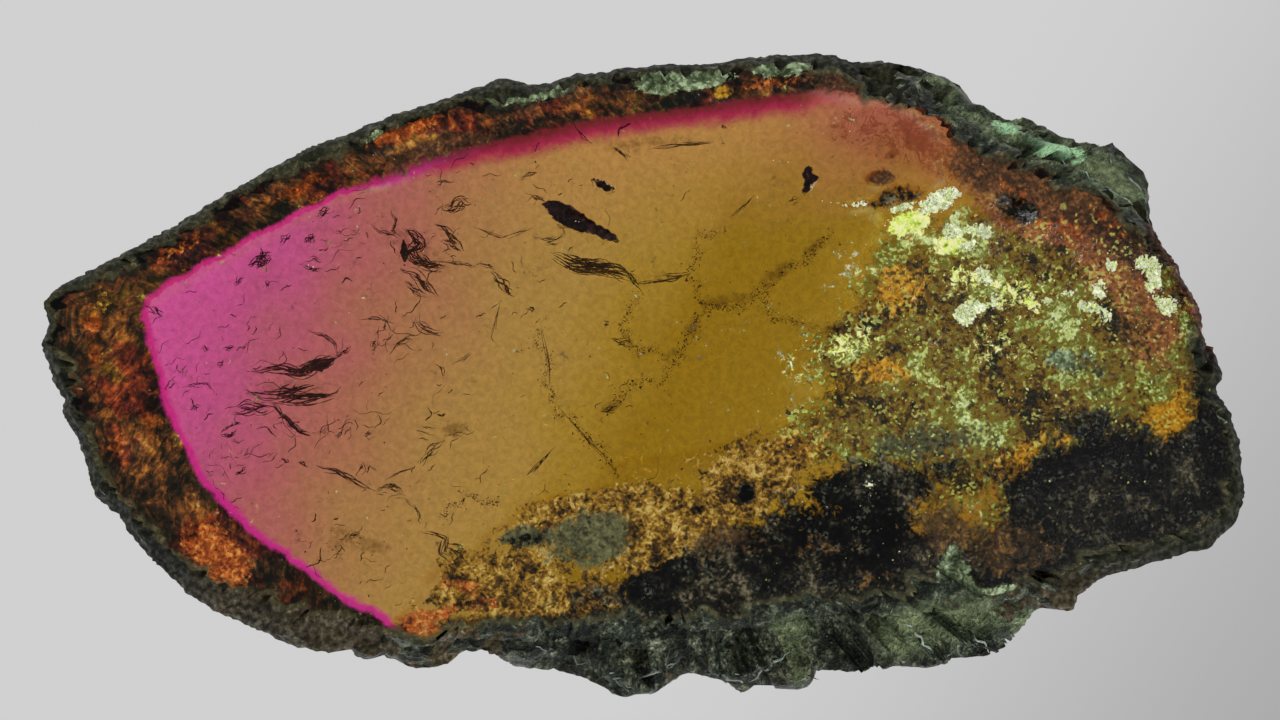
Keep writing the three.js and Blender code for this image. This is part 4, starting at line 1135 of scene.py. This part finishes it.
class UpperFace(Finish):
    """The upper cut face's material: clouds of three sizes and grains, which its layers share."""

    def __init__(self, name):
        super().__init__(name)
        self.broad = self.clouds(self.place, 2.4 * MM, 2, 0.55)
        self.cloud = self.clouds(self.place, 0.8 * MM, 5, 0.66, 0.3)
        self.fine = self.clouds(self.place, 0.2 * MM, 3, 0.7, 0.4)
        cells = self.cells(self.place, 0.085 * MM)
        self.grain, self.other_grain = (self.part(cells, axis) for axis in "XY")
        centred = self.maths("SUBTRACT", self.grain, 0.5)
        self.bits = self.plus(self.times(self.fine[1], 0.8), 0.26, centred)

    def ragged(self, region, start, end, first, second, coarse=1.4, small=1.2):
        """A region's share with ragged borders: its stored strength plus middling and fine noise."""
        value = self.plus(self.stored(region), coarse, self.cloud[first])
        return self.step(self.plus(value, small, self.fine[second]), start, end)

    def layer(self, under, share, clouds, spread, tones):
        """A layer over a colour by its share: a ramp read by grainy noise and a cloudy one."""
        value = self.maths("ADD", self.plus(self.bits, spread, clouds), 0.5)
        return self.blend(share, under, self.colours(value, tones))

    def stains(self, colour, shares, layers):
        """Layers from a table, from the lowest up."""
        for region, strength, number, spread, tones in layers:
            share = self.times(shares[region], strength)
            colour = self.layer(colour, share, self.cloud[number], spread, tones)
        return colour


# Where each region of the upper face starts and is full, and which cloudy and fine noise ragged
# its border, by how much
RAGGED = {
    "crust": (0.3, 0.62, 0, 1), "rust": (0.36, 0.62, 1, 2), "plum": (0.35, 0.8, 2, 1),
    "russet": (0.35, 0.85, 0, 2), "soot": (0.28, 0.78, 2, 0), "ember": (0.42, 0.85, 0, 2),
    "amber": (0.4, 0.8, 1, 1), "lime": (0.46, 0.8, 0, 2, 0.9, 1.6), "mint": (0.52, 0.66, 2, 1, 1.2, 0.9),
    "jade": (0.42, 0.62, 1, 0, 1.0, 0.9), "moss": (0.4, 0.8, 0, 2), "brown": (0.35, 0.95, 2, 1),
}
# Layers of the upper face, from the lowest up: region, strength, the cloudy noise that they follow
# and how much, and their tones
GROWN_STAINS = [
    ("russet", 1.0, 0, 0.9, [
        (0.2, (0.13, 0.045, 0.022)), (0.42, (0.34, 0.13, 0.045)), (0.6, (0.52, 0.24, 0.07)),
        (0.8, (0.76, 0.46, 0.18)),
    ]),
    ("rust", 1.0, 0, 1.1, [
        (0.2, (0.02, 0.016, 0.008)), (0.34, (0.09, 0.05, 0.015)), (0.46, (0.28, 0.14, 0.022)),
        (0.6, (0.56, 0.31, 0.035)), (0.78, (0.9, 0.66, 0.2)),
    ]),
    ("amber", 1.0, 1, 0.5, [
        (0.25, (0.3, 0.11, 0.012)), (0.5, (0.66, 0.36, 0.02)), (0.75, (0.9, 0.58, 0.08)),
    ]),
    ("plum", 0.94, 1, 0.9, [
        (0.25, (0.028, 0.018, 0.014)), (0.5, (0.11, 0.055, 0.03)), (0.75, (0.38, 0.15, 0.055)),
    ]),
    ("ember", 1.0, 1, 0.8, [
        (0.22, (0.08, 0.022, 0.012)), (0.42, (0.38, 0.085, 0.02)), (0.6, (0.72, 0.2, 0.035)),
        (0.76, (0.95, 0.46, 0.12)),
    ]),
    ("moss", 0.92, 0, 0.7, [
        (0.25, (0.05, 0.055, 0.03)), (0.5, (0.14, 0.15, 0.07)), (0.75, (0.24, 0.26, 0.13)),
    ]),
]
BROWN_STAIN = [
    ("brown", 0.9, 2, 1.0, [
        (0.22, (0.025, 0.018, 0.012)), (0.5, (0.09, 0.06, 0.03)), (0.66, (0.2, 0.11, 0.04)),
        (0.82, (0.45, 0.26, 0.08)),
    ]),
]
PALE_CRUSTS = [
    ("lime", 1.0, 0, 0.5, [
        (0.2, (0.3, 0.38, 0.04)), (0.4, (0.8, 0.92, 0.2)), (0.56, (1.0, 1.0, 0.5)),
    ]),
    ("mint", 1.0, 0, 0.5, [
        (0.25, (0.26, 0.32, 0.1)), (0.45, (0.56, 0.63, 0.32)), (0.7, (0.88, 0.91, 0.68)),
    ]),
]
JADE_CHIPS = [
    ("jade", 1.0, 0, 0.9, [
        (0.25, (0.02, 0.03, 0.014)), (0.5, (0.1, 0.135, 0.065)), (0.75, (0.36, 0.46, 0.27)),
    ]),
]
# How far each layer keeps light from passing
CLOUDED = {
    "crust": 0.3, "lime": 0.5, "mint": 0.92, "soot": 0.3, "jade": 0.9, "edge": 0.8, "lining": 0.985,
}


def crusted(face, colour, shares):
    """The granular crust and the stains over it, with bright specks and dark pits among the grains."""
    patch = face.plus(face.times(face.broad[0], 0.9), 1.3, face.cloud[2])
    colour = face.layer(colour, shares["crust"], patch, 1.0, [
        (0.12, (0.03, 0.026, 0.012)), (0.28, (0.1, 0.07, 0.018)), (0.42, (0.3, 0.16, 0.02)),
        (0.52, (0.36, 0.25, 0.026)), (0.62, (0.26, 0.25, 0.04)), (0.74, (0.42, 0.46, 0.1)),
        (0.9, (0.85, 0.92, 0.45)),
    ])
    colour = face.stains(colour, shares, GROWN_STAINS)
    specks = face.step(face.plus(face.grain, 1.5, face.cloud[0]), 0.88, 1.02)
    specks = face.times(face.times(shares["crust"], specks), 0.7)
    colour = face.blend(specks, colour, (0.66, 0.7, 0.2))
    grown = face.maths("MAXIMUM", shares["crust"], shares["rust"])
    pits = face.step(face.plus(face.other_grain, 1.8, face.cloud[1]), 0.98, 1.14)
    pits = face.times(face.times(grown, pits), 0.7)
    return face.blend(pits, colour, (0.03, 0.024, 0.012))


def sooted(face, colour, shares):
    """Black soot with brown places, grey-green crumbs and thin grey curly wisps."""
    mottle = face.plus(face.cloud[1], 0.8, face.broad[1])
    colour = face.layer(colour, shares["soot"], mottle, 1.2, [
        (0.2, (0.002, 0.002, 0.002)), (0.5, (0.008, 0.008, 0.007)), (0.64, (0.032, 0.03, 0.019)),
        (0.76, (0.1, 0.08, 0.042)), (0.92, (0.3, 0.27, 0.17)),
    ])
    crumbs = face.step(face.plus(face.grain, 0.9, face.cloud[2]), 0.93, 1.0)
    crumbs = face.times(face.times(shares["soot"], crumbs), 0.7)
    colour = face.blend(crumbs, colour, (0.16, 0.17, 0.11))
    colour = face.stains(colour, shares, BROWN_STAIN)
    wisp = face.step(face.maths("ABSOLUTE", face.plus(face.cloud[0], 0.25, face.fine[1])), 0.02, 0.0)
    here = face.times(shares["soot"], face.step(face.cloud[2], -0.02, 0.12, 0.0, 0.5))
    return face.blend(face.times(wisp, here), colour, (0.16, 0.17, 0.14))


def edged_and_lined(face, colour, shares, edge):
    """The dark edge, the green chips over it and the near-black linings of the open hollows. Adds
    the shares of the edge and the linings."""
    rim = face.plus(face.plus(edge, 0.7 * MM, face.cloud[1]), 0.3 * MM, face.stored("russet"))
    shares["edge"] = face.step(rim, 0.34 * MM, 0.06 * MM)
    colour = face.blend(shares["edge"], colour, face.colours(face.maths("ADD", face.fine[1], 0.5), [
        (0.3, (0.014, 0.016, 0.009)), (0.55, (0.045, 0.045, 0.022)), (0.75, (0.14, 0.12, 0.06)),
    ]))
    colour = face.stains(colour, shares, JADE_CHIPS)
    shares["lining"] = face.step(face.plus(face.stored("lining"), 0.5, face.fine[1]), 0.42, 0.58)
    return face.blend(shares["lining"], colour, face.colours(face.maths("ADD", face.fine[2], 0.5), [
        (0.4, (0.006, 0.003, 0.003)), (0.65, (0.02, 0.008, 0.007)), (0.85, (0.09, 0.04, 0.03)),
    ]))


def upper_face_finish():
    """The upper cut face: see-through zoned core, mottled rind, granular rust, soot and pitted
    crust. Light passes both cut faces, and each takes the square root of its colour out of it, so
    this one holds the wanted colour squared over the lower one's."""
    face = UpperFace("upper cut face")
    across, edge = face.stored("rind"), face.stored("edge")
    zones = core_zones(face, face.broad)
    colour = core_colour(face, zones, face.cloud, face.fine)
    border = face.plus(face.plus(across, 0.4 * MM, face.cloud[1]), 0.15 * MM, face.fine[0])
    line, line_tone = magenta_line(face, border)
    colour = face.blend(line, colour, line_tone)
    in_rind = face.step(border, -0.06 * MM, 0.1 * MM)
    rind = rind_colour(face, across, edge, face.broad, face.cloud, face.fine)
    colour = face.blend(in_rind, colour, rind)

    shares = {region: face.ragged(region, *limits) for region, limits in RAGGED.items()}
    colour = crusted(face, colour, shares)
    colour = sooted(face, colour, shares)
    colour = face.stains(colour, shares, PALE_CRUSTS)
    colour = edged_and_lined(face, colour, shares, edge)
    grainy = face.step(face.fine[2], -0.3, 0.3, 0.84, 1.12)
    colour = face.blend(1.0, colour, face.joined(grainy, grainy, grainy), "MULTIPLY")

    cloudy = face.times(in_rind, 0.12)
    for region, weight in CLOUDED.items():
        cloudy = face.maths("MAXIMUM", cloudy, face.times(shares[region], weight))
    face.give("Transmission Weight", face.maths("SUBTRACT", 0.985, cloudy))
    squared = face.blend(1.0, colour, colour, "MULTIPLY")
    squared = face.blend(1.0, squared, through_colour(face, zones), "DIVIDE")
    squared.node.clamp_result = True
    shown = face.blend(face.step(cloudy, 0.4, 0.9), squared, colour)
    face.give("Base Color", shown)

    coarse = face.stored("coarse")
    polish = face.plus(0.06, 0.06, face.broad[2])
    face.give("Roughness", face.plus(polish, 0.18, coarse))
    relief = face.times(face.noise(face.place, 0.16 * MM, 3, 0.6, flat=True), coarse)
    face.give("Normal", face.bump(relief, 0.6, 0.1 * MM))
    face.glassy()
    return face.material


def lower_face_finish():
    """The lower cut face: ground flat and see-through, with the core's zones and the stained rind."""
    finish = Finish("lower cut face")
    broad = finish.clouds(finish.place, 2.4 * MM, 2, 0.55)
    finish.give("Base Color", through_colour(finish, core_zones(finish, broad)))
    finish.give("Roughness", finish.plus(0.06, 0.06, broad[2]))
    finish.give("Transmission Weight", 0.985)
    finish.glassy()
    return finish.material


def grown_wall_finish():
    """The grown prism faces: olive black, with fine upright growth lines and brown stain."""
    finish = Finish("grown wall")
    lines = finish.noise(finish.stretched(finish.place, (1, 1, 0.06)), 0.16 * MM, 2, 0.55)
    cloud = finish.noise(finish.place, 0.8 * MM, 5, 0.64, 0.4)
    value = finish.plus(finish.times(cloud, 0.5), 0.5, lines)
    olive = finish.colours(value, [
        (0.38, (0.003, 0.004, 0.002)), (0.5, (0.009, 0.011, 0.005)), (0.6, (0.026, 0.024, 0.012)),
        (0.7, (0.08, 0.07, 0.04)),
    ])
    brown = finish.colours(value, [
        (0.38, (0.012, 0.01, 0.006)), (0.5, (0.045, 0.036, 0.02)), (0.6, (0.11, 0.09, 0.055)),
        (0.7, (0.25, 0.21, 0.15)),
    ])
    y = finish.part(finish.place, "Y")
    low = finish.step(finish.plus(y, 1.5 * MM, finish.maths("SUBTRACT", cloud, 0.5)), -5.5 * MM, -7 * MM)
    tone = finish.blend(low, olive, brown)
    upper_end, lower_end = finish.step(y, 4.8 * MM, 3.8 * MM), finish.step(y, 0.2 * MM, 0.9 * MM)
    stained = finish.step(finish.stored("russet"), 0.4, 0.9)
    lens = finish.times(finish.times(upper_end, lower_end), stained)
    tone = finish.blend(lens, tone, finish.colours(value, [
        (0.38, (0.02, 0.008, 0.006)), (0.5, (0.07, 0.024, 0.014)), (0.6, (0.16, 0.055, 0.03)),
        (0.7, (0.3, 0.14, 0.08)),
    ]))
    finish.give("Base Color", tone)
    finish.give("Roughness", finish.step(lines, 0.35, 0.65, 0.7, 0.45))
    finish.give("Transmission Weight", 0.05)
    finish.give("Specular IOR Level", 0.02)
    finish.give("Normal", finish.bump(lines, 0.6, 0.08 * MM))
    finish.glassy()
    return finish.material


def broken_wall_finish():
    """The broken walls: charcoal to grey-green glassy breaks with pale chips."""
    finish = Finish("broken wall")
    green = finish.step(finish.stored("green"), 0.2, 0.9)
    cloud = finish.noise(finish.place, 0.7 * MM, 5, 0.68, 0.6)
    chips = finish.noise(finish.place, 0.16 * MM, 3, 0.7)
    value = finish.plus(finish.times(cloud, 0.65), 0.4, chips)
    split_tone = finish.colours(value, [
        (0.4, (0.003, 0.004, 0.003)), (0.5, (0.011, 0.015, 0.011)), (0.57, (0.04, 0.05, 0.033)),
        (0.64, (0.18, 0.21, 0.14)), (0.73, (0.62, 0.66, 0.52)),
    ])
    green_tone = finish.colours(value, [
        (0.42, (0.04, 0.052, 0.028)), (0.53, (0.12, 0.15, 0.075)), (0.63, (0.22, 0.29, 0.14)),
        (0.73, (0.62, 0.74, 0.46)),
    ])
    tone = finish.blend(green, split_tone, green_tone)
    bright = finish.plus(finish.stored("green"), 1.5, finish.maths("SUBTRACT", chips, 0.5))
    bright = finish.step(bright, 1.15, 1.8)
    tone = finish.blend(bright, tone, (0.36, 0.62, 0.34))
    finish.give("Base Color", tone)
    finish.give("Transmission Weight", finish.step(value, 0.5, 0.7, 0.05, 0.3))
    finish.give("Specular IOR Level", 0.2)
    finish.give("Roughness", finish.step(cloud, 0.3, 0.7, 0.18, 0.4))
    finish.give("Normal", finish.bump(finish.plus(chips, 0.8, cloud), 0.9, 0.2 * MM))
    finish.glassy()
    return finish.material


def hair_finish():
    """Hollow hairs, dark brown with redder places."""
    finish = Finish("dark hairs")
    value = finish.bit_tone(0.25 * MM, 2, 0.8, 0.3)
    finish.give("Base Color", finish.colours(value, [
        (0.4, (0.008, 0.003, 0.003)), (0.58, (0.1, 0.035, 0.02)), (0.85, (0.4, 0.16, 0.08)),
    ]))
    finish.give("Roughness", finish.step(value, 0.3, 0.7, 0.3, 0.5))
    return finish.material


def hollow_finish():
    """The lining of the leaf-shaped hollows, near black with brown fibres along them."""
    finish = Finish("hollow lining")
    fibres = finish.noise(finish.stretched(finish.place, (0.6, 1.6, 1)), 0.12 * MM, 3, 0.6)
    finish.give("Base Color", finish.colours(fibres, [
        (0.4, (0.004, 0.003, 0.003)), (0.6, (0.016, 0.009, 0.007)), (0.75, (0.09, 0.045, 0.03)),
    ]))
    finish.give("Roughness", finish.step(fibres, 0.3, 0.7, 0.3, 0.5))
    finish.give("Specular IOR Level", 0.2)
    return finish.material


def fleck_finish():
    """Flecks of iron stain, from near black to ochre brown."""
    finish = Finish("stain flecks")
    value = finish.bit_tone(0.12 * MM, 1, 0.4, 0.7)
    finish.give("Base Color", finish.colours(value, [
        (0.2, (0.008, 0.004, 0.003)), (0.5, (0.08, 0.035, 0.012)), (0.9, (0.4, 0.2, 0.05)),
    ]))
    finish.give("Roughness", finish.step(value, 0.2, 0.9, 0.35, 0.6))
    return finish.material


def grain_and_glint_finish():
    """Crust grains and painted glints: dark amber, olive, lime and pale mint by their own tone, slightly
    see-through; the near-white top tone paints the glints.
    """
    finish = Finish("crust grains and painted glints")
    value = finish.bit_tone(0.06 * MM, 2, 0.16, 0.92)
    finish.give("Base Color", finish.colours(value, [
        (0.12, (0.05, 0.035, 0.01)), (0.35, (0.3, 0.18, 0.02)), (0.55, (0.4, 0.42, 0.06)),
        (0.72, (0.78, 0.86, 0.26)), (0.88, (0.76, 0.82, 0.52)), (1.0, (0.96, 0.97, 0.9)),
    ]))
    finish.give("Roughness", finish.step(value, 0.1, 1.0, 0.25, 0.45))
    finish.give("Transmission Weight", 0.35)
    finish.give("IOR", 1.5)
    return finish.material


def splinter_and_glint_finish():
    """Splinters of the broken walls: charcoal green to pale grey glassy bits, the palest painted as glints.
    """
    finish = Finish("wall splinters and painted glints")
    value = finish.bit_tone(0.15 * MM, 2, 0.4, 0.8)
    finish.give("Base Color", finish.colours(value, [
        (0.2, (0.012, 0.018, 0.016)), (0.45, (0.07, 0.1, 0.08)), (0.68, (0.3, 0.36, 0.3)),
        (0.95, (0.92, 0.95, 0.93)),
    ]))
    finish.give("Roughness", finish.step(value, 0.2, 1.0, 0.12, 0.3))
    finish.give("Transmission Weight", 0.4)
    finish.give("IOR", IOR)
    return finish.material


def light_table():
    """A plain pale table that glows evenly, as the light table under the slice does, a little
    duller towards the lower right."""
    mesh = bpy.data.meshes.new("light_table")
    corners = [(x * TABLE_HALF, y * TABLE_HALF, TABLE_TOP) for x, y in ((-1, -1), (1, -1), (1, 1), (-1, 1))]
    mesh.from_pydata(corners, [], [(0, 1, 2, 3)])
    table = bpy.data.objects.new("light_table", mesh)
    bpy.context.scene.collection.objects.link(table)
    finish = Finish("light table")
    slant = finish.plus(finish.part(finish.place, "X"), -0.6, finish.part(finish.place, "Y"))
    fade = finish.step(slant, 0.004, 0.03)
    finish.give("Base Color", (0.0, 0.0, 0.0))
    finish.give("Specular IOR Level", 0.0)
    finish.give("Emission Color", finish.blend(fade, TABLE_GLOW, TABLE_DULL))
    finish.give("Emission Strength", 1.0)
    mesh.materials.append(finish.material)
    table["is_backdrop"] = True


def soft_lamp(name, place, power):
    """A square soft lamp that points at the slice. It throws no mirror image, as under crossed
    polarising filters, so the polished face shows its colours from every side."""
    lamp = bpy.data.lights.new(name, "AREA")
    lamp.size = LAMP_SIZE
    lamp.energy = power
    holder = bpy.data.objects.new(name, lamp)
    bpy.context.scene.collection.objects.link(holder)
    holder.location = place
    holder.rotation_euler = (-Vector(place)).to_track_quat("-Z", "Y").to_euler()
    holder.visible_glossy = False


def photo_camera():
    """The camera nearly straight above the slice, tipped a little towards its front."""
    camera = bpy.data.cameras.new("camera")
    holder = bpy.data.objects.new("camera", camera)
    bpy.context.scene.collection.objects.link(holder)
    back = CAMERA_DISTANCE * Vector((0, -np.cos(CAMERA_ELEVATION), np.sin(CAMERA_ELEVATION)))
    holder.location = CAMERA_AIM + back
    holder.rotation_euler = (-back).to_track_quat("-Z", "Y").to_euler()
    camera.sensor_width = CAMERA_SENSOR
    camera.lens = CAMERA_SENSOR * CAMERA_DISTANCE / WIDTH_IN_VIEW
    camera.clip_start = 0.005
    bpy.context.scene.camera = holder


crystal_points = crystal_piece()
surface = surface_map(crystal_points)
# The grains' material also paints the white glints, specks standing in for light
hairs, grains = hair_finish(), grain_and_glint_finish()
dark_wisps(hairs)
fine_hairs(hairs)
hollows()
vein_flecks()
crust_grains(surface, grains)
# Splinters, with small pale bits painted as glints
wall_splinters_and_glints(crystal_points, surface, splinter_and_glint_finish())
# White specks painted as glints of light
painted_glints(surface, grains)

light_table()
soft_lamp("key lamp", KEY_PLACE, KEY_POWER)
soft_lamp("fill lamp", FILL_PLACE, FILL_POWER)
photo_camera()

world = bpy.data.worlds.new("studio")
bpy.context.scene.world = world
world.use_nodes = True
world.node_tree.nodes["Background"].inputs["Color"].default_value = WORLD_COLOUR
world.node_tree.nodes["Background"].inputs["Strength"].default_value = WORLD_STRENGTH
bpy.context.scene.view_settings.view_transform = "Standard"
